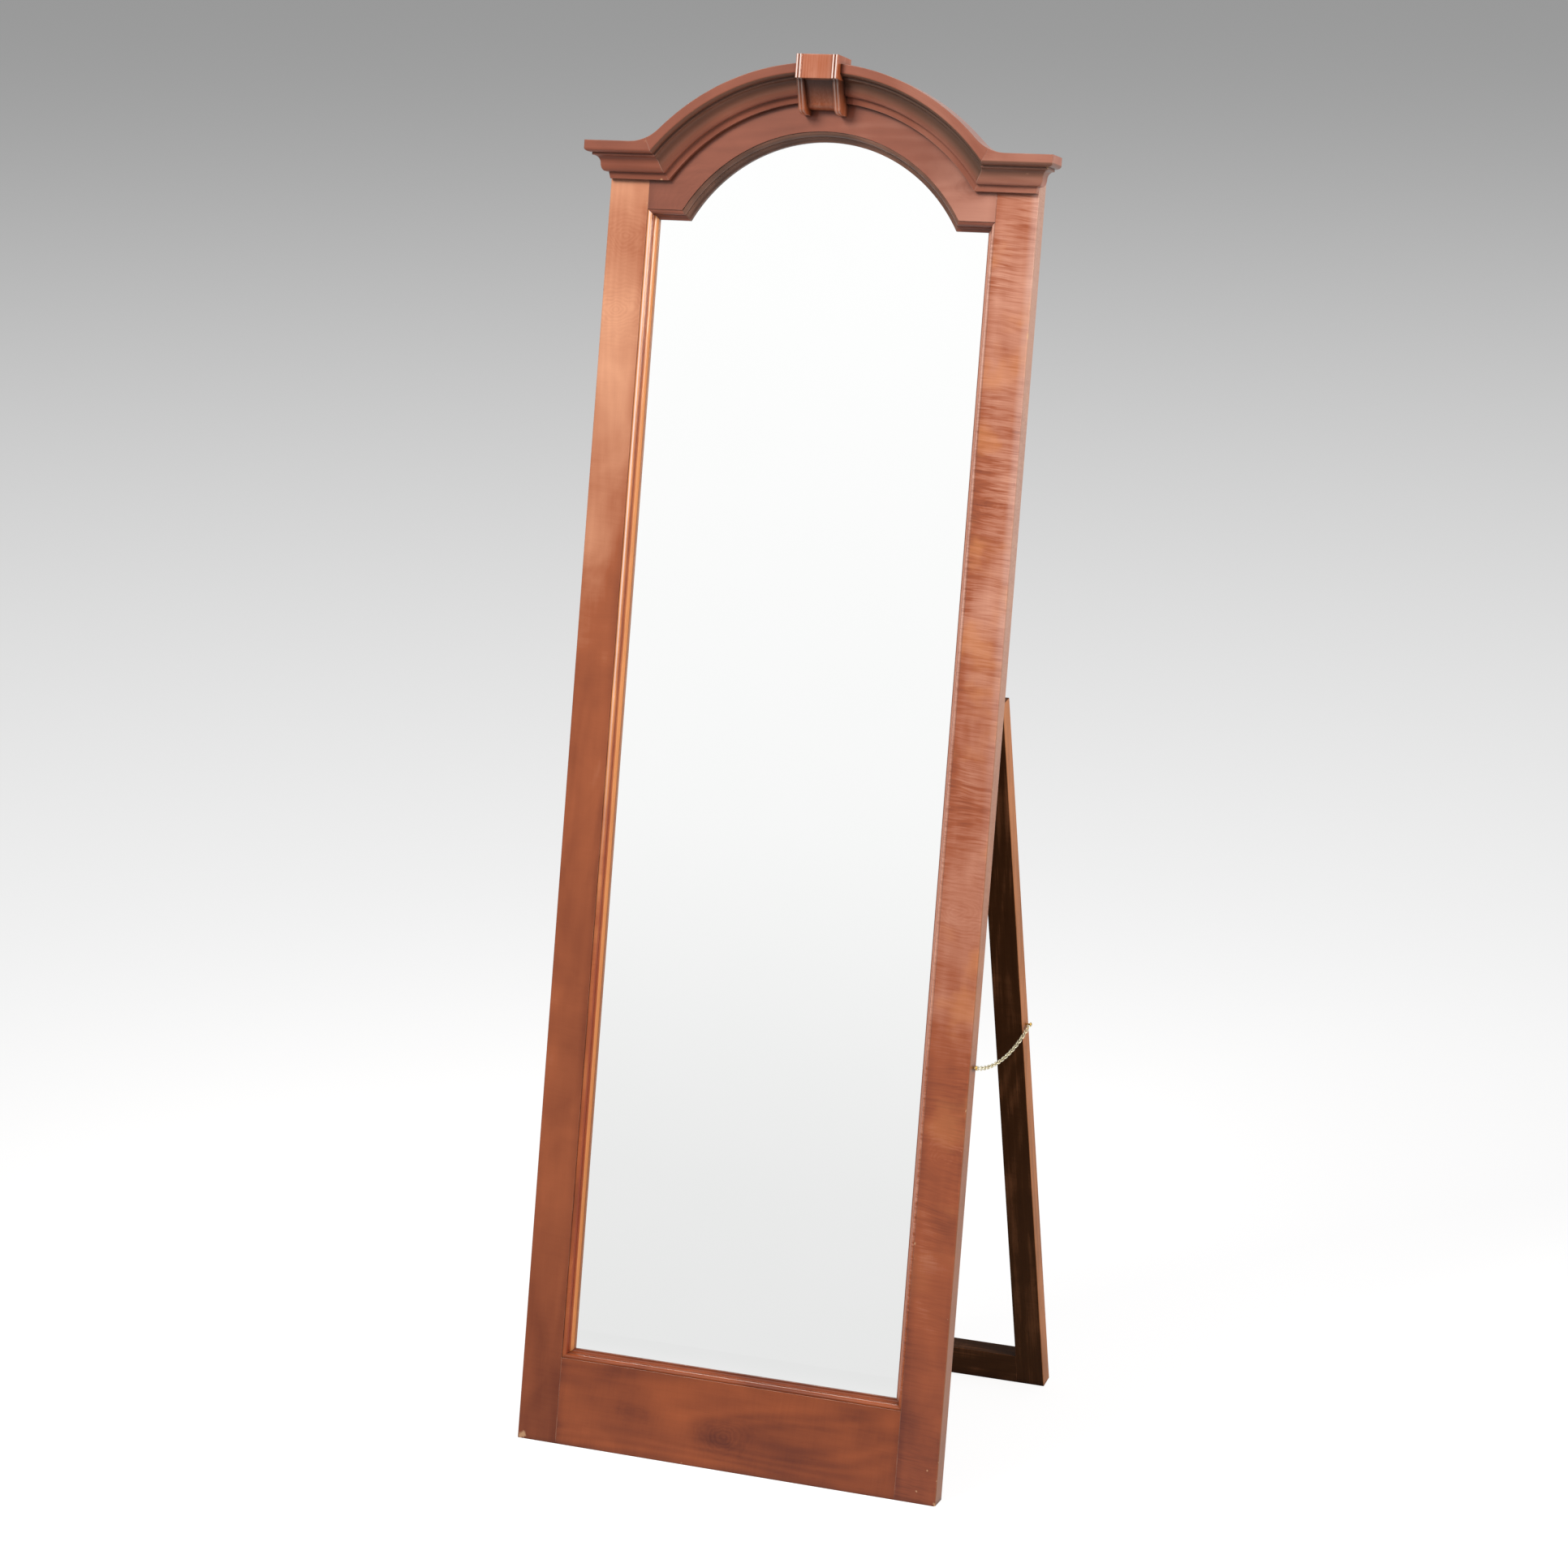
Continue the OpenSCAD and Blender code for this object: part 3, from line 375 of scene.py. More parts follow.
        # The section is painted in bands of light and shade: the quirk darkened as painted shade,
        # the cove painted bright as lit, and a dark painted shadow line at the rim by the glass
        into = add("Math", bead, away, operation="SUBTRACT")
        quirk = band(into, 4.6 * MM, 6.2 * MM, 7.2 * MM, 8.4 * MM)
        rim = add("MapRange", into, 11.8 * MM, 12.6 * MM)
        cove = add("MapRange", into, 7.6 * MM, 8.6 * MM)
        for part, strength, stain in ((cove, 0.75, light), (quirk, 0.8, linear("#8E3A22")),
                                      (rim, 0.6, wood.umber)):
            paint = add("Mix", add("Math", part, strength), paint, rgba(stain))
    if seams:
        # Hairline where a rail meets its stile
        paint = add("Mix", add("MapRange", gap, 0.3 * MM, 1.0 * MM, 0.4, 0.0), paint,
                    rgba(wood.umber))

    # Painted shade, with old polish and dust: every inner corner is darkened by how closed in it
    # is
    shelter = add("AmbientOcclusion", {"Distance": 12 * MM}, samples=6).outputs["AO"]
    corner_dust_and_shade = add("MapRange", shelter, 0.35, 0.95, wood.grime if grime is None else grime, 0.0)
    paint = add("Mix", corner_dust_and_shade, paint, rgba(wood.polish_and_shade))
    if cap:
        # Painted shadow: the panel of the keystone is darkened below its cap, where the cap shades
        # it
        cap_shadow = band(high, cap - 52 * MM, cap - 6 * MM, cap - MM, cap + MM)
        paint = add("Mix", add("Math", cap_shadow, 0.85), paint, rgba(wood.polish_and_shade))

    # The lacquer is worn thin on every edge, and the edges are also painted pale as a highlight: a
    # rounded normal there against the flat one finds them
    soft = add("Bevel", {"Radius": 1.6 * MM}, samples=6)
    flat = add("NewGeometry").outputs["Normal"]
    facing = add("VectorMath", soft, flat, operation="DOT_PRODUCT")
    open_edge = add("Math", add("MapRange", facing, 0.995, 0.8),
                    add("MapRange", shelter, 0.7, 0.95))
    edge_patches = add("TexNoise", {"Vector": place, "Scale": 45.0, "Detail": 3.0})
    wear_and_highlight = add("Math", open_edge, add("MapRange", edge_patches, 0.35, 0.65, 0.15, 0.6))
    paint = add("Mix", wear_and_highlight, paint, rgba(worn or light))
    if cap:
        # Painted highlight: the crests of the reeds are painted pale, most of all on the cap
        painted_highlight = add("MapRange", high, cap - MM, cap + MM, 0.15, 0.8)
        for crest in REED_CRESTS:
            off = add("Math", add("Math", away, crest, operation="SUBTRACT"),
                      operation="ABSOLUTE")
            line = add("Math", add("MapRange", off, 0.5 * MM, 1.3 * MM, 1.0, 0.0), painted_highlight)
            paint = add("Mix", line, paint, rgba(linear("#FFF3EE")))
    if painted_gloss_line:
        # Painted highlight: high on the stiles and on the bead a pale gloss line is painted along
        # the edge, with a broad painted sheen beside it on the stiles
        painted_highlight = add("Math", add("MapRange", high, 0.75, 1.45), painted_gloss_line)
        if bead:
            line = band(into, 1.6 * MM, 2.6 * MM, 3.4 * MM, 4.4 * MM)
        else:
            narrow = add("MapRange", away, STILE_EDGE - 3.2 * MM, STILE_EDGE - 1.4 * MM)
            broad = add("MapRange", away, STILE_EDGE - 15 * MM, STILE_EDGE - 3 * MM, 0.0, 0.22)
            line = add("Math", add("Math", narrow, open_edge), broad, operation="MAXIMUM")
        paint = add("Mix", add("Math", line, painted_highlight), paint, rgba(linear("#F3DDD6")))
    if chips:
        # A few chips down to bare wood, close to the edges
        wide = add("Bevel", {"Radius": 5 * MM}, samples=6)
        near = add("VectorMath", wide, flat, operation="DOT_PRODUCT")
        spots = add("TexNoise", {"Vector": place, "Scale": 70.0, "Detail": 4.0})
        bite = add("Math", add("MapRange", spots, 0.68, 0.71),
                   add("MapRange", near, 0.999, 0.97, 0.0, chips))
        paint = add("Mix", bite, paint, rgba(wood.bare))
    for knock_x, knock_high, reach in knocks:
        # Knocks at the foot, down to bare wood
        apart = add("VectorMath", upright, add("CombineXYZ", knock_x, y, knock_high),
                    operation="DISTANCE")
        ragged = add("TexNoise", {"Vector": place, "Scale": 160.0, "Detail": 3.0})
        apart = add("Math", apart, add("Math", ragged, reach * 1.4), operation="ADD")
        paint = add("Mix", add("MapRange", apart, reach, reach * 1.3, 0.7, 0.0), paint,
                    rgba(wood.bare))

    bump = add("Bump", {"Strength": 0.12, "Distance": 0.2 * MM,
                        "Height": veneer.outputs["Height"], "Normal": soft})
    gloss = wood.gloss if gloss is None else gloss
    shader = add("BsdfPrincipled", {
        "Base Color": paint, "Roughness": veneer.outputs["Gloss"], "IOR": 1.5,
        "Specular IOR Level": sheen, "Normal": bump,
        "Coat Weight": add("MapRange", high, *fade, *gloss) if isinstance(gloss, tuple) else gloss,
        "Coat Roughness": 0.16, "Coat IOR": 1.5, "Coat Normal": soft})
    add("OutputMaterial", shader)
    return material


def brass(name, bright, dull, roughness, patina):
    """Brass, drawn or stamped, without lacquer: bright, with dull brown patches here and there."""
    material, add = new_material(name)
    where = add("TexCoord").outputs["Object"]
    stain = add("TexNoise", {"Vector": where, "Scale": 260.0, "Detail": 3.0, "Roughness": 0.6})
    spread = add("MapRange", stain, 0.4, 0.68, 0, patina, interpolation_type="LINEAR")
    rough = add("MapRange", stain, 0.3, 0.7, roughness, roughness + 0.2,
                interpolation_type="LINEAR")
    scratches = add("TexNoise", {"Vector": where, "Scale": 1800.0, "Detail": 1.0})
    bump = add("Bump", {"Strength": 0.15, "Distance": 0.05 * MM, "Height": scratches})
    add("OutputMaterial", add("BsdfPrincipled", {
        "Base Color": add("Mix", spread, rgba(bright), rgba(dull)), "Metallic": 1.0,
        "Roughness": rough, "Normal": bump}))
    return material


def silvered_glass():
    """Silvered float glass: a hard clear reflection, a shade green, with faint wipe marks."""
    material, add = new_material("Silvered float glass")
    film = add("TexNoise", {"Vector": board_place(add, FRAME_LEAN), "Scale": 6.0, "Detail": 4.0})
    rough = add("MapRange", film, 0.45, 0.8, 0.0, 0.02, interpolation_type="LINEAR")
    paint = add("Mix", film, rgba(linear("#FFFFFF")), rgba(linear("#FDFEFD")))
    add("OutputMaterial", add("BsdfPrincipled", {
        "Base Color": paint, "Metallic": 1.0, "Roughness": rough}))
    return material


def hardboard():
    """Hardboard, pressed from wood fibres: matt brown, dark flecks and a fine screen pattern."""
    back = bpy.context.scene.mirror_back
    material, add = new_material("Hardboard")
    place = board_place(add, FRAME_LEAN)
    flecks = add("TexNoise", {"Vector": place, "Scale": 420.0, "Detail": 4.0, "Roughness": 0.65})
    blotch = add("TexNoise", {"Vector": place, "Scale": 5.0, "Detail": 3.0})
    tone = add("Math", blotch, 0.5, flecks, operation="MULTIPLY_ADD")
    fade = add("MapRange", tone, 0.5, 1.0, interpolation_type="LINEAR")
    paint = add("Mix", fade, rgba(back.board_dark), rgba(back.board))
    # The screen that the board dries on leaves a mesh of about 2 mm
    rows = [add("TexWave", {"Vector": place, "Scale": 157.0, "Distortion": 0.4},
                wave_type="BANDS", bands_direction=way).outputs["Fac"] for way in "XZ"]
    bump = add("Bump", {"Strength": 0.4, "Distance": 0.3 * MM, "Height": add("Math", *rows)})
    add("OutputMaterial", add("BsdfPrincipled", {
        "Base Color": paint, "Roughness": 0.75, "Normal": bump}))
    return material


def beech():
    """Turned beech, left bare: pale, with short brown flecks along the dowel."""
    back = bpy.context.scene.mirror_back
    material, add = new_material("Turned beech")
    where = add("TexCoord").outputs["Object"]
    fibres = add("Mapping", {"Vector": where, "Scale": (0.1, 1, 1)})
    flecks = add("TexNoise", {"Vector": fibres, "Scale": 900.0, "Detail": 3.0})
    fade = add("MapRange", flecks, 0.35, 0.6, interpolation_type="LINEAR")
    paint = add("Mix", fade, rgba(linear("#9C744B")), rgba(back.beech))
    add("OutputMaterial", add("BsdfPrincipled", {"Base Color": paint, "Roughness": 0.6}))
    return material


def dress(material, *names):
    """Gives pieces of the CAD frame their material."""
    for name in names:
        mesh = NODES[name].data
        mesh.materials.clear()
        mesh.materials.append(material)


def settle(piece):
    """Turns what a piece's Geometry Nodes make into its plain mesh."""
    graph = bpy.context.evaluated_depsgraph_get()
    mesh = bpy.data.meshes.new_from_object(piece.evaluated_get(graph))
    piece.modifiers.clear()
    piece.data = mesh
    return piece


def grown(name, tree, points, values):
    """A piece that a Geometry Nodes tree grows on points, with the tree's inputs set by name."""
    mesh = bpy.data.meshes.new(name)
    mesh.from_pydata(points, [], [])
    piece = bpy.data.objects.new(name, mesh)
    bpy.context.scene.collection.objects.link(piece)
    modifier = piece.modifiers.new(tree.name, "NODES")
    modifier.node_group = tree
    for socket in tree.interface.items_tree:
        if socket.item_type == "SOCKET" and socket.name in values:
            modifier[socket.identifier] = values[socket.name]
    return settle(piece)


def geometry_tree(name, sockets):
    tree = bpy.data.node_groups.new(name, "GeometryNodeTree")
    tree.is_modifier = True
    tree.interface.new_socket("Geometry", in_out="INPUT", socket_type="NodeSocketGeometry")
    for title, kind in sockets:
        tree.interface.new_socket(title, in_out="INPUT", socket_type=f"NodeSocket{kind}")
    tree.interface.new_socket("Geometry", in_out="OUTPUT", socket_type="NodeSocketGeometry")
    return tree, tree.nodes.new("NodeGroupInput").outputs


def screw_tree():
    """Screws with a cross recess: the head's outer face is at each point."""
    tree, use = geometry_tree("Cross recess screws", [
        ("Outer radius", "Float"), ("Inner radius", "Float"), ("Head height", "Float"),
        ("Shank radius", "Float"), ("Length", "Float"), ("Recess radius", "Float"),
        ("Recess depth", "Float"), ("Tilt", "Float"), ("Seed", "Int"), ("Material", "Material")])
    add = partial(node, tree)

    def hung(part, drop):
        """The part, moved down by drop."""
        place = add("CombineXYZ", {2: add("Math", drop, -1.0)})
        return add("GeometryNodeTransform", {"Geometry": part, "Translation": place})

    head = hung(add("GeometryNodeMeshCone", {
        "Vertices": 28, "Radius Top": use["Outer radius"], "Radius Bottom": use["Inner radius"],
        "Depth": use["Head height"]}), use["Head height"])
    # The cross is two slots, centred on the face of the head, so half of their height is in it
    reach = add("Math", use["Recess radius"], 2.0)
    width = add("Math", use["Recess radius"], 0.42)
    deep = add("Math", use["Recess depth"], 2.0)
    slots = [add("GeometryNodeMeshCube", {"Size": add("CombineXYZ", *sides, deep)})
             for sides in ((reach, width), (width, reach))]
    cross = add("GeometryNodeMeshBoolean", {"Mesh 2": slots}, operation="UNION")
    cut = add("GeometryNodeMeshBoolean", {"Mesh 1": head, "Mesh 2": cross},
              operation="DIFFERENCE")
    shank = hung(add("GeometryNodeMeshCone", {
        "Vertices": 16, "Radius Top": use["Shank radius"],
        "Radius Bottom": add("Math", use["Shank radius"], 0.3),
        "Depth": add("Math", use["Length"], use["Head height"], operation="SUBTRACT")}),
        use["Length"])
    screw = add("GeometryNodeJoinGeometry", {0: [cut, shank]})
    row = add("GeometryNodeInstanceOnPoints", {
        "Points": use["Geometry"], "Instance": screw,
        "Rotation": add("CombineXYZ", {0: use["Tilt"]})})
    turn = add("FunctionNodeRandomValue", {3: 2 * pi, "Seed": use["Seed"]}, data_type="FLOAT")
    row = add("GeometryNodeRotateInstances",
              {"Instances": row, "Rotation": add("CombineXYZ", {2: turn})})
    real = add("GeometryNodeRealizeInstances", {"Geometry": row})
    coat = add("GeometryNodeSetMaterial", {"Geometry": real, "Material": use["Material"]})
    add("NodeGroupOutput", {"Geometry": coat})
    return tree


def chain_tree():
    """Links on an arc, every second one turned on edge."""
    tree, use = geometry_tree("Chain links", [
        ("Links", "Int"), ("First link", "Int"), ("First angle", "Float"), ("Step angle", "Float"),
        ("Sag radius", "Float"), ("Centre", "Vector"), ("Half length", "Float"),
        ("Bend radius", "Float"), ("Wire radius", "Float"), ("Material", "Material")])
    add = partial(node, tree)

    across = add("Math", use["Bend radius"], 2.0)
    along = add("Math", add("Math", use["Half length"], 2.0), across, operation="ADD")
    box = add("GeometryNodeCurvePrimitiveQuadrilateral", {"Width": along, "Height": across})
    # A hair under half the width, so that the two bends of an end stay apart
    bend = add("Math", use["Bend radius"], 0.999)
    oval = add("GeometryNodeFilletCurve", {"Curve": box, "Count": 9, "Radius": bend}, mode="POLY")
    wire = add("GeometryNodeCurvePrimitiveCircle",
               {"Resolution": 10, "Radius": use["Wire radius"]})
    link = add("GeometryNodeCurveToMesh", {"Curve": oval, "Profile Curve": wire})
    # A link is drawn in the XY plane; it is stood along Y with its flat side to X
    flat = add("GeometryNodeTransform", {"Geometry": link, "Rotation": (0, 0, pi / 2)})
    edge = add("GeometryNodeTransform", {"Geometry": flat, "Rotation": (0, pi / 2, 0)})
    pair = add("GeometryNodeGeometryToInstance", {0: [flat, edge]})

    number = add("Math", add("GeometryNodeInputIndex"), use["First link"], operation="ADD")
    past = add("Math", add("Math", number, 1.0, operation="SUBTRACT"), use["Step angle"])
    angle = add("Math", past, use["First angle"], operation="ADD")
    down = add("Math", use["Sag radius"], -1.0)
    swing = add("CombineXYZ", {
        1: add("Math", add("Math", angle, operation="SINE"), use["Sag radius"]),
        2: add("Math", add("Math", angle, operation="COSINE"), down)})
    place = add("VectorMath", use["Centre"], swing, operation="ADD")
    points = add("GeometryNodePoints", {"Count": use["Links"], "Position": place})
    run = add("GeometryNodeInstanceOnPoints", {
        "Points": points, "Instance": pair, "Pick Instance": True,
        "Instance Index": add("Math", number, 2.0, operation="MODULO"),
        "Rotation": add("CombineXYZ", {0: angle})})
    real = add("GeometryNodeRealizeInstances", {"Geometry": run})
    smooth = add("GeometryNodeSetShadeSmooth", {"Geometry": real})
    coat = add("GeometryNodeSetMaterial", {"Geometry": smooth, "Material": use["Material"]})
    add("NodeGroupOutput", {"Geometry": coat})
    return tree


def heads(name, lean, outward):
    """The middle of each screw's head in a CAD node, on its outer face, in the row frame."""
    level = Matrix.Rotation(lean, 4, "X")
    mesh = bmesh.new()
    mesh.from_mesh(NODES[name].data)
    bmesh.ops.remove_doubles(mesh, verts=mesh.verts, dist=0.01 * MM)
    found, seen = [], set()
    for start in mesh.verts:
        if start in seen:
            continue
        island, edge_of = [], [start]
        seen.add(start)
        while edge_of:
            vert = edge_of.pop()
            island.append(level @ vert.co)
            for edge in vert.link_edges:
                other = edge.other_vert(vert)
                if other not in seen:
                    seen.add(other)
                    edge_of.append(other)
        x = (min(p.x for p in island) + max(p.x for p in island)) / 2
        z = (min(p.z for p in island) + max(p.z for p in island)) / 2
        y = max(p.y for p in island) if outward > 0 else min(p.y for p in island)
        found.append(level.inverted() @ Vector((x, y, z)))
    mesh.free()
    return found


def top_of(name):
    """Height of a piece of the frame above the foot, measured along the frame."""
    along = Vector((0, sin(FRAME_LEAN), cos(FRAME_LEAN)))
    return max(vert.co @ along for vert in NODES[name].data.vertices) + FOOT


def middle_of(name):
    low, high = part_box(name)
    return (low + high) / 2


class MIRROR_OT_camera(bpy.types.Operator):
    """Sets the camera where the photograph was taken from"""
    bl_idname = "floor_mirror.camera"
    bl_label = "Camera"

    def execute(self, context):
        # Solved from the corners of the frame, of its opening and of the easel's legs
        downwards, sideways = radians(13.4795), radians(22.488)
        lens = bpy.data.cameras.new("Studio camera")
        lens.sensor_width = 36
        lens.lens = 91.6165
        lens.clip_end = 400
        camera = bpy.data.objects.new("Studio camera", lens)
        camera.location = (2.17550, -5.27478, 2.34847)
        camera.rotation_euler = (pi / 2 - downwards, 0, sideways)
        context.scene.collection.objects.link(camera)
        context.scene.camera = camera
        return {"FINISHED"}


class MIRROR_OT_stage(bpy.types.Operator):
    """Lays the pale studio floor and hangs the soft boxes"""
    bl_idname = "floor_mirror.stage"
    bl_label = "Studio"

    def execute(self, context):
        stage = context.scene.mirror_stage
        context.scene.view_settings.view_transform = "Standard"
        self.floor(context, stage)
        self.air(context, stage)
        self.soft_box(context, "Key soft box", stage.key,
                      place=(-1.9, -3.0, 4.8), target=(0, 0, 1.4), size=1.8)
        self.soft_box(context, "Side soft box", stage.side,
                      place=(3.4, -0.7, 2.6), target=(0, 0, 1.3), size=1.3)
        return {"FINISHED"}

    def floor(self, context, stage):
        mesh = bmesh.new()
        bmesh.ops.create_circle(mesh, cap_ends=True, radius=stage.radius, segments=96)
        data = bpy.data.meshes.new("Studio floor")
        mesh.to_mesh(data)
        mesh.free()
        piece = bpy.data.objects.new("Studio floor", data)
        context.scene.collection.objects.link(piece)
        material, add = new_material("Studio paper")
        away = add("VectorMath", add("TexCoord").outputs["Object"], operation="LENGTH")
        # The paper falls off from white to grey with a half length of some 8 m
        fall_off = 10.9
        past = add("Math", away, 1.0, operation="SUBTRACT")
        past = add("Math", past, 0.0, operation="MAXIMUM")
        left = add("Math", add("Math", past, -fall_off, operation="DIVIDE"), operation="EXPONENT")
        fade = add("Math", 1.0, left, operation="SUBTRACT")
        straight = add("LightPath").outputs["Is Camera Ray"]
        end = add("Mix", straight, rgba(stage.mirrored), rgba(stage.far))
        tone = add("Mix", fade, rgba(stage.near), end)
        # Close to the mirror the paper is partly lit by the lamps, so that it keeps a shadow
        close, beyond = 1.0, 3.5
        glow = add("Emission", tone, add("MapRange", away, close, beyond, 0.84, 1.0))
        weak = add("MapRange", away, close, beyond, 0.3, 0.0)
        lit = add("BsdfDiffuse", {"Color": add("CombineColor", weak, weak, weak)})
        shown = add("AddShader", glow, lit)
        plain = add("BsdfDiffuse", {"Color": rgba(linear("#C4C2C0"))})
        add("OutputMaterial", add("MixShader", seen_rays(add), plain, shown))
        data.materials.append(material)

    def air(self, context, stage):
        world = bpy.data.worlds.new("Studio air")
        world.use_nodes = True
        world.node_tree.nodes.clear()
        add = partial(node, world.node_tree)
        height = add("SeparateXYZ", add("TexCoord").outputs["Generated"]).outputs[2]
        ramp = add("ValToRGB", height)
        stops = ramp.color_ramp.elements
        stops[0].position, stops[0].color = 0.0, rgba(linear("#E8E8E8"))
        stops[1].position, stops[1].color = 0.26, rgba(linear("#FFFFFF"))
        for position, code in ((0.04, "#EBEBEB"), (0.13, "#F8F8F8")):
            stops.new(position).color = rgba(linear(code))
        seen = add("Background", {"Color": ramp, "Strength": 1.0})
        light = add("Background", {"Color": rgba(linear("#F4F6FF")), "Strength": stage.ambient})
        add("OutputWorld", add("MixShader", seen_rays(add), light, seen))
        context.scene.world = world

    def soft_box(self, context, name, power, place, target, size):
        lamp = bpy.data.lights.new(name, "AREA")
        lamp.energy = power
        lamp.size = size
        lamp.color = linear("#FFFAF2")
        box = bpy.data.objects.new(name, lamp)
        box.location = place
        box.rotation_euler = (Vector(target) - Vector(place)).to_track_quat("-Z", "Y").to_euler()
        context.scene.collection.objects.link(box)


def seen_rays(add):
    """1 for a ray that shows the studio, straight or in glass and metal, and 0 for light."""
    rays = add("LightPath").outputs
    total = add("Math", rays["Is Camera Ray"], rays["Is Glossy Ray"], operation="MAXIMUM")
    return add("Math", total, rays["Is Transmission Ray"], operation="MAXIMUM")


class MIRROR_OT_boards(bpy.types.Operator):
    """Stains and lacquers the stiles and rails of the frame"""
    bl_idname = "floor_mirror.boards"
    bl_label = "Frame boards"

    def execute(self, context):
        stiles = {"seams": SEAM, "chips": 1.0, "flank": linear("#9A6844")}
        rails = {"along": "across", "seams": SEAM}
        dress(stained_wood(
            "Mottled cherry", FRAME_LEAN, seed=3.1, tones=(0.42, 0.8), fade=(1.0, 1.65), foot_shade=0.2,
            gloss=(0.2, 0.3), middle=linear("#A55B3A"),
            # The first of these knots is painted shade, where the crown's overhang shades the top
            # of the stile, and the second, paler one is painted sheen
            knots_and_painted_light=[(-0.3, 1.8, 0.07, 0.12), (-0.31, 1.69, 0.08, -0.17)],
            knocks=[(-0.326, 0.005, 0.012)],
            Clouds=0.22, Rings=0.015, Curl=0.02, Grain=0.05, **stiles), "left_stile")
        dress(stained_wood(
            "Curly cherry", FRAME_LEAN, seed=8.4, tones=(0.4, 0.78), fade=(0.2, 1.45), foot_shade=0.14,
            gloss=(0.2, 0.25), painted_gloss_line=0.9, light=linear("#D89C84"), middle=linear("#A4593B"),
            dark=linear("#63332A"), glow=linear("#D98E5A"),
            knots_and_painted_light=[(0.3, 1.44, 0.07, 0.12), (0.3, 0.86, 0.12, -0.12), (0.3, 0.5, 0.12, 0.12)],
            knocks=[(0.304, 0.018, 0.004), (0.318, 0.05, 0.003)],
            Clouds=0.34, Rings=0.0, Curl=(0.14, 0.3), Grain=0.04, **stiles), "right_stile")
        dress(stained_wood(
            "Plain cherry", FRAME_LEAN, seed=5.2, tones=(0.43, 0.43), right=0.4,
            knots_and_painted_light=[(0.236, 1.89, 0.03, 0.2), (0.25, 1.78, 0.07, 0.14), (-0.17, 1.85, 0.1, 0.13)],
            Clouds=0.16, Rings=0.03, Curl=0.0, Grain=0.06, **rails, **MUTED), "top_rail")
        dress(stained_wood(
            "Figured cherry", FRAME_LEAN, seed=1.7, tones=(0.31, 0.31), right=0.08, chips=0.7,
            knots_and_painted_light=[(0.0, 0.05, 0.045, 0.22), (-0.14, 0.07, 0.03, 0.1)],
            Clouds=0.26, Rings=0.04, Curl=0.03, Grain=0.12, **rails), "bottom_rail")
        dress(beech(), "frame_dowels", "easel_dowels")
        return {"FINISHED"}


class MIRROR_OT_crown(bpy.types.Operator):
    """Stains and lacquers the crown moulding"""
    bl_idname = "floor_mirror.crown"
    bl_label = "Crown"

    def execute(self, context):
        look = {"tones": (0.43, 0.43), "right": 0.2, "grime": 0.85, "gloss": 0.18,
                "worn": linear("#D3AB9A"), "Clouds": 0.2, "Rings": 0.02, "Curl": 0.0,
                "Grain": 0.1, **MUTED}
        # Each lip's lower edge, and how dark the painted shade in the hollow under it is on the
        # left and the right
        high_lip = top_of("crown_arch_left") - ARCH_CENTRE - LIP, 0.6, 0.85
        low_lip = top_of("crown_return_left") - LIP, 0.0, 0.6
        dress(stained_wood("Bent cherry moulding", FRAME_LEAN, arch=ARCH_CENTRE, seed=2.2,
                           lip=high_lip, **look), "crown_arch_left", "crown_arch_right")
        dress(stained_wood("Straight cherry moulding", FRAME_LEAN, "across", seed=6.1, chips=1.0,
                           lip=low_lip, **look),
              "crown_shoulder_left", "crown_shoulder_right",
              "crown_return_left", "crown_return_right")
        return {"FINISHED"}


class MIRROR_OT_keystone(bpy.types.Operator):
    """Stains and lacquers the keystone and its reeded cheeks"""
    bl_idname = "floor_mirror.keystone"
    bl_label = "Keystone"

    def execute(self, context):
        dress(stained_wood("Cherry keystone", FRAME_LEAN, seed=4.4, tones=(0.56, 0.56),
                           light=linear("#D89C84"), cap=top_of("keystone_block") - CAP,
                           Clouds=0.2, Rings=0.0, Curl=0.0, Grain=0.3),
              "keystone_block", "keystone_left_cheek", "keystone_right_cheek")
        return {"FINISHED"}


class MIRROR_OT_sight(bpy.types.Operator):
    """Stains and lacquers the moulding round the glass"""
    bl_idname = "floor_mirror.sight"
    bl_label = "Moulding round the glass"

    def execute(self, context):
        upright = {"bead": SEAM, "gloss": (0.3, 0.8), "Grain": 0.1}
        low = {"seed": 9.9, "tones": (0.3, 0.3), "Curl": 0.0}
        dress(stained_wood("Left sight moulding", FRAME_LEAN, seed=7.3, tones=(0.4, 0.9),
                           fade=(0.3, 1.4), light=linear("#F0A263"), painted_gloss_line=0.85, grime=0.3,
                           Curl=0.03, **upright), "sight_left")
        dress(stained_wood("Right sight moulding", FRAME_LEAN, seed=8.4, tones=(0.5, 0.85),
                           fade=(0.1, 1.1), light=linear("#D99C83"), painted_gloss_line=0.25, Curl=0.3,
                           **upright), "sight_right")
        dress(stained_wood("Low sight moulding", FRAME_LEAN, "across", gloss=0.04, **low),
              "sight_bottom")
        dress(stained_wood("High sight moulding", FRAME_LEAN, "across", **low, **MUTED),
              "sight_shoulder_left", "sight_shoulder_right")
        dress(stained_wood("Bent sight moulding", FRAME_LEAN, arch=ARCH_CENTRE, seed=2.9,
                           tones=(0.35, 0.35), light=linear("#A98270"),
                           middle=linear("#7A5545"), dark=linear("#36251D"), Curl=0.0),
              "sight_arch")
        return {"FINISHED"}


class MIRROR_OT_glass(bpy.types.Operator):
    """Silvers the mirror plate and finishes the board behind it"""
    bl_idname = "floor_mirror.glass"
    bl_label = "Glass and backing"

    def execute(self, context):
        dress(silvered_glass(), "mirror_plate")
        dress(hardboard(), "backing_board")
        return {"FINISHED"}


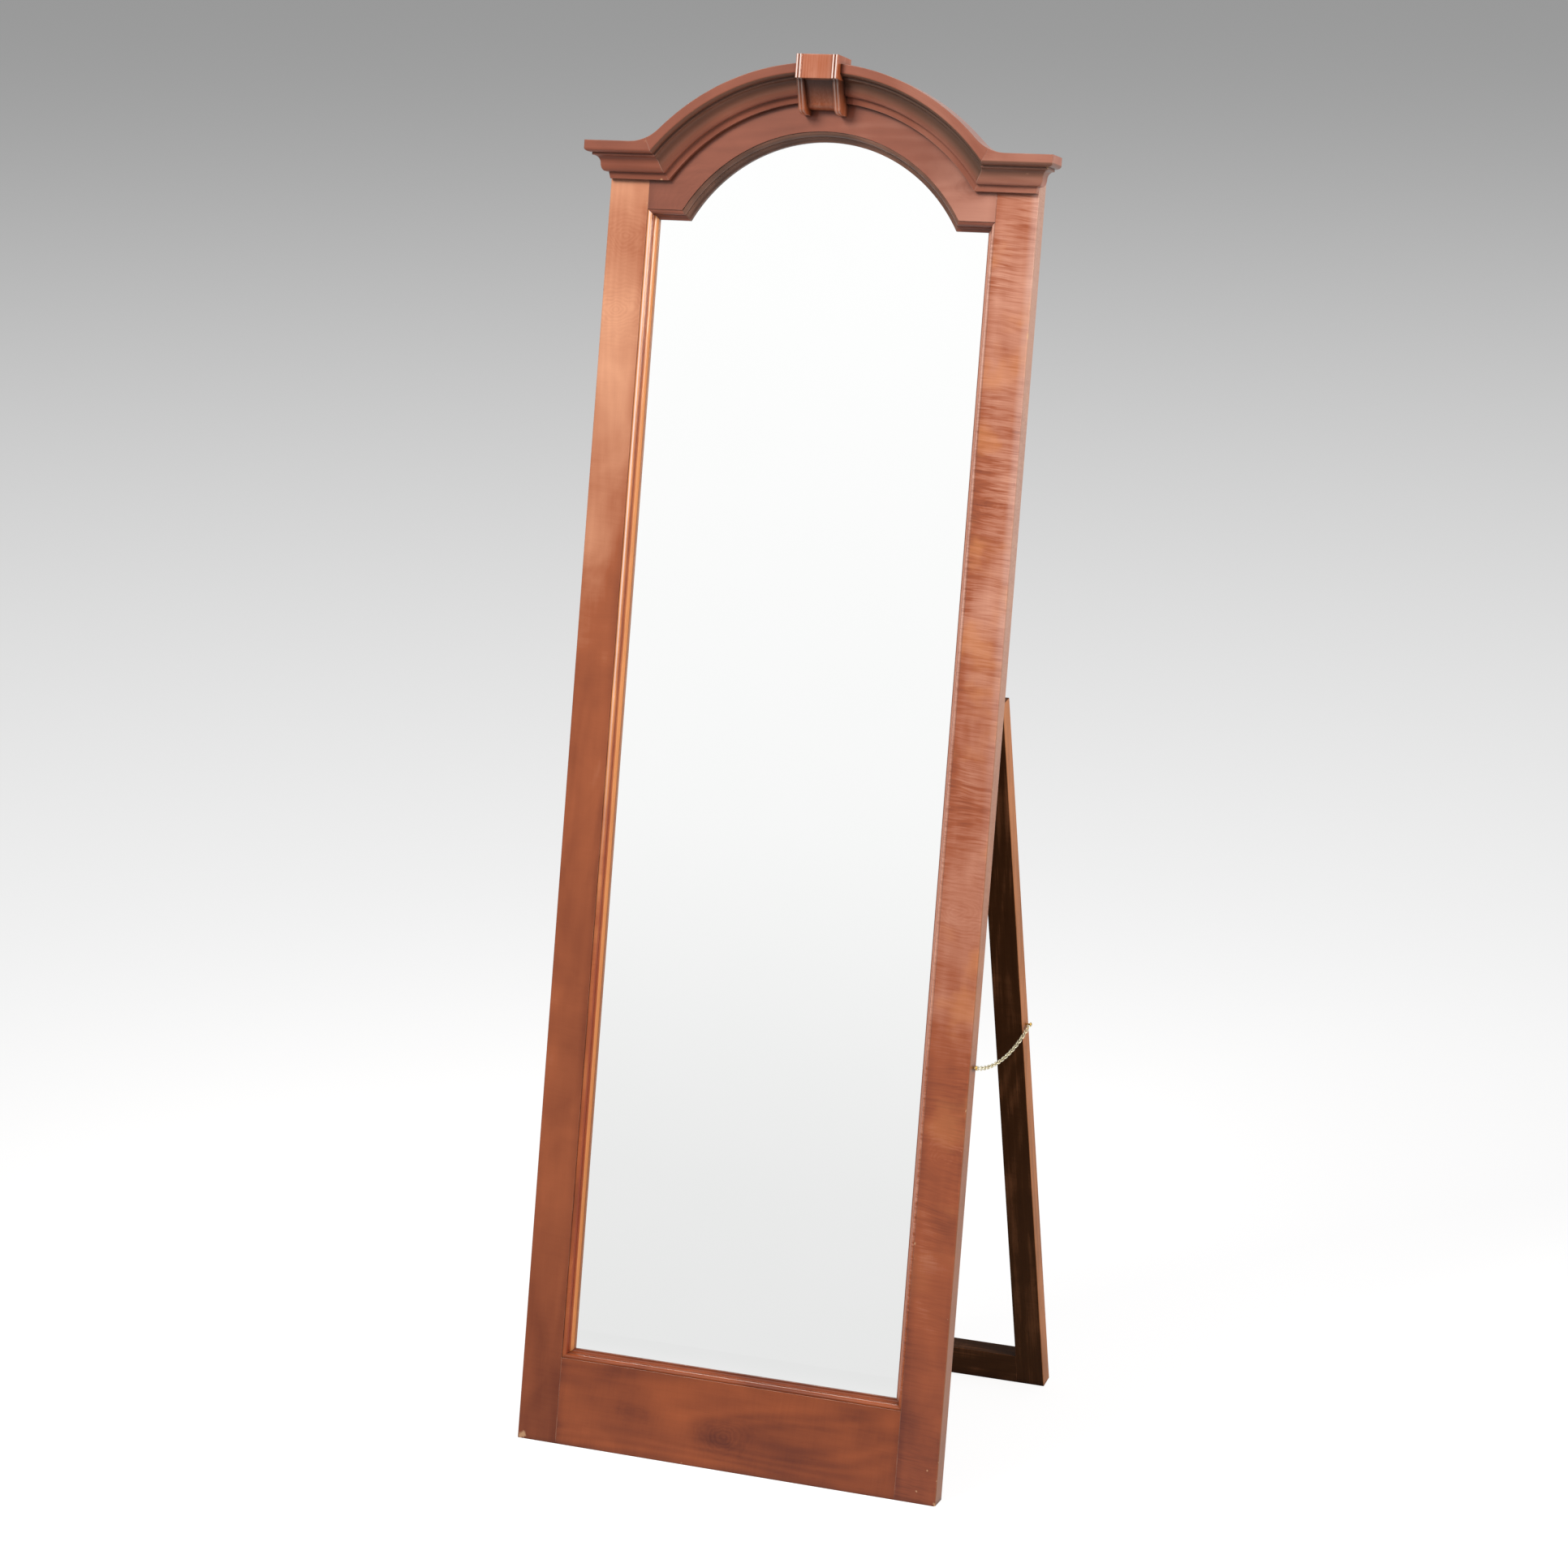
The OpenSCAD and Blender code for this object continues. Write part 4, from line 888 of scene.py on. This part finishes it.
class MIRROR_OT_easel(bpy.types.Operator):
    """Stains the legs and rails of the easel"""
    bl_idname = "floor_mirror.easel"
    bl_label = "Easel"

    def execute(self, context):
        wood = context.scene.mirror_wood
        # Painted shade: the easel is stained dark for the shade behind the frame, and its outer
        # sides are painted paler as lit from the side
        stain = {"light": linear("#C08058"), "middle": wood.shade, "dark": linear("#2E1A10"),
                 "gloss": 0.0, "sheen": 0.03}
        dress(stained_wood("Easel leg cherry", EASEL_LEAN, seed=5.5, side=LEG_EDGE, Clouds=0.2,
                           Curl=0.02, **stain), "easel_left_leg", "easel_right_leg")
        dress(stained_wood("Easel rail cherry", EASEL_LEAN, "across", seed=6.6, Clouds=0.14,
                           Curl=0.05, **stain), "easel_top_rail", "easel_bottom_rail")
        return {"FINISHED"}


class MIRROR_OT_hinges(bpy.types.Operator):
    """Finishes the hinges, their pins and the screws that carry the chain"""
    bl_idname = "floor_mirror.hinges"
    bl_label = "Hinges"

    def execute(self, context):
        metal = context.scene.mirror_metal
        dress(brass("Stamped brass", metal.brass, metal.tarnish, roughness=0.3, patina=0.7),
              "hinge_frame_leaf_left", "hinge_frame_leaf_right",
              "hinge_easel_leaf_left", "hinge_easel_leaf_right",
              "hinge_pin_left", "hinge_pin_right", "chain_frame_screw", "chain_leg_screw")
        return {"FINISHED"}


class MIRROR_OT_screws(bpy.types.Operator):
    """Drives the screws of the crown, the backing board and the hinges"""
    bl_idname = "floor_mirror.screws"
    bl_label = "Screws"

    def execute(self, context):
        metal, screws = context.scene.mirror_metal, context.scene.mirror_screws
        tree = screw_tree()
        finish = brass("Brassed steel screws", metal.brass, metal.tarnish,
                       roughness=0.25, patina=0.8)
        back, front = -pi / 2 - FRAME_LEAN, pi / 2 - EASEL_LEAN
        # Last come the head's outer and inner radius and height, the shank's radius, the length
        rows = [
            ("crown_screws", "frame", FRAME_LEAN, 1, back, (4, 2, 3.5, 2, 42)),
            ("backing_screws", "frame", FRAME_LEAN, 1, back, (2, 2.6, 1.2, 1.4, 11.4)),
            ("hinge_frame_screws", "frame", FRAME_LEAN, 1, back, (2.9, 1.5, 1.5, 1.5, 14)),
            ("hinge_easel_screws", "easel", EASEL_LEAN, -1, front, (2.9, 1.5, 1.5, 1.5, 14)),
        ]
        for name, body, lean, outward, tilt, sizes in rows:
            outer, inner, high, shank, long = (s * MM for s in sizes)
            piece = grown(f"recessed_{name}", tree, heads(name, lean, outward), {
                "Outer radius": outer, "Inner radius": inner, "Head height": high,
                "Shank radius": shank, "Length": long, "Recess radius": outer * screws.recess,
                "Recess depth": min(high, outer) * 0.6, "Tilt": tilt, "Seed": screws.turn_seed,
                "Material": finish})
            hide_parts(name)
            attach(piece, body)
        return {"FINISHED"}


class MIRROR_OT_chain(bpy.types.Operator):
    """Hangs the chain between its two screws, in two runs"""
    bl_idname = "floor_mirror.chain"
    bl_label = "Chain"

    def execute(self, context):
        chain, metal = context.scene.mirror_chain, context.scene.mirror_metal
        start, end = middle_of("chain_frame_screw"), middle_of("chain_leg_screw")
        # The arc that sags by so much between the two screws
        run, rise = end.y - start.y, end.z - start.z
        chord, tilt = hypot(run, rise), atan2(rise, run)
        radius = (chord ** 2 / 4 + chain.sag ** 2) / (2 * chain.sag)
        half = asin(chord / 2 / radius)
        bend = (chain.inside + chain.wire) / 2
        low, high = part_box("chain_front_run")
        centre = Vector(((low.x + high.x) / 2, (start.y + end.y) / 2, (start.z + end.z) / 2))
        centre += (radius - chain.sag) * Vector((0, -sin(tilt), cos(tilt)))
        # Links of one length that fill it, an odd number of them, and the angle from each to each
        seat = chain.inside / 2 - chain.screw
        room = 2 * half * radius + chain.inside - seat - chain.play
        links = 2 * floor((room / chain.pitch - 1) / 2) + 1
        flat = (room / links + chain.play) / 2 - chain.inside / 2
        lead = (flat + seat / 2) / radius
        step = 2 * (half - lead) / (links - 1)
        tree = chain_tree()
        finish = brass("Pale plated chain", metal.pale_brass, metal.tarnish,
                       roughness=0.18, patina=0.35)
        front = (links + 1) // 2
        runs = (("chain_front_run", "front_chain", 1, front),
                ("chain_rear_run", "rear_chain", front + 1, links - front))
        for name, body, first, count in runs:
            piece = grown(f"linked_{name}", tree, [], {
                "Links": count, "First link": first, "First angle": tilt - half + lead,
                "Step angle": step, "Sag radius": radius, "Centre": centre, "Half length": flat,
                "Bend radius": bend, "Wire radius": chain.wire / 2, "Material": finish})
            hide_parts(name)
            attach(piece, body)
        return {"FINISHED"}


class MIRROR_PT_panel(bpy.types.Panel):
    bl_label = "Floor Mirror"
    bl_idname = "MIRROR_PT_panel"
    bl_space_type = "VIEW_3D"
    bl_region_type = "UI"
    bl_category = "Floor Mirror"

    def draw(self, context):
        layout = self.layout
        for operator in OPERATORS:
            layout.operator(operator.bl_idname)
        for name in GROUPS:
            box = layout.box()
            settings = getattr(context.scene, name)
            for key in settings.__annotations__:
                box.prop(settings, key)


GROUPS = {
    "mirror_wood": MirrorWood, "mirror_metal": MirrorMetal, "mirror_back": MirrorBack,
    "mirror_chain": MirrorChain, "mirror_screws": MirrorScrews, "mirror_stage": MirrorStage,
}
OPERATORS = (
    MIRROR_OT_camera, MIRROR_OT_stage, MIRROR_OT_boards, MIRROR_OT_crown, MIRROR_OT_keystone,
    MIRROR_OT_sight, MIRROR_OT_glass, MIRROR_OT_easel, MIRROR_OT_hinges, MIRROR_OT_screws,
    MIRROR_OT_chain,
)


def register():
    for group in (*GROUPS.values(), *OPERATORS, MIRROR_PT_panel):
        bpy.utils.register_class(group)
    for name, group in GROUPS.items():
        setattr(bpy.types.Scene, name, bpy.props.PointerProperty(type=group))


def unregister():
    for name in GROUPS:
        delattr(bpy.types.Scene, name)
    for group in (MIRROR_PT_panel, *reversed(OPERATORS), *reversed(GROUPS.values())):
        bpy.utils.unregister_class(group)


def main():
    register()
    for operator in OPERATORS:
        family, name = operator.bl_idname.split(".")
        getattr(getattr(bpy.ops, family), name)()


if __name__ == "__main__":
    main()
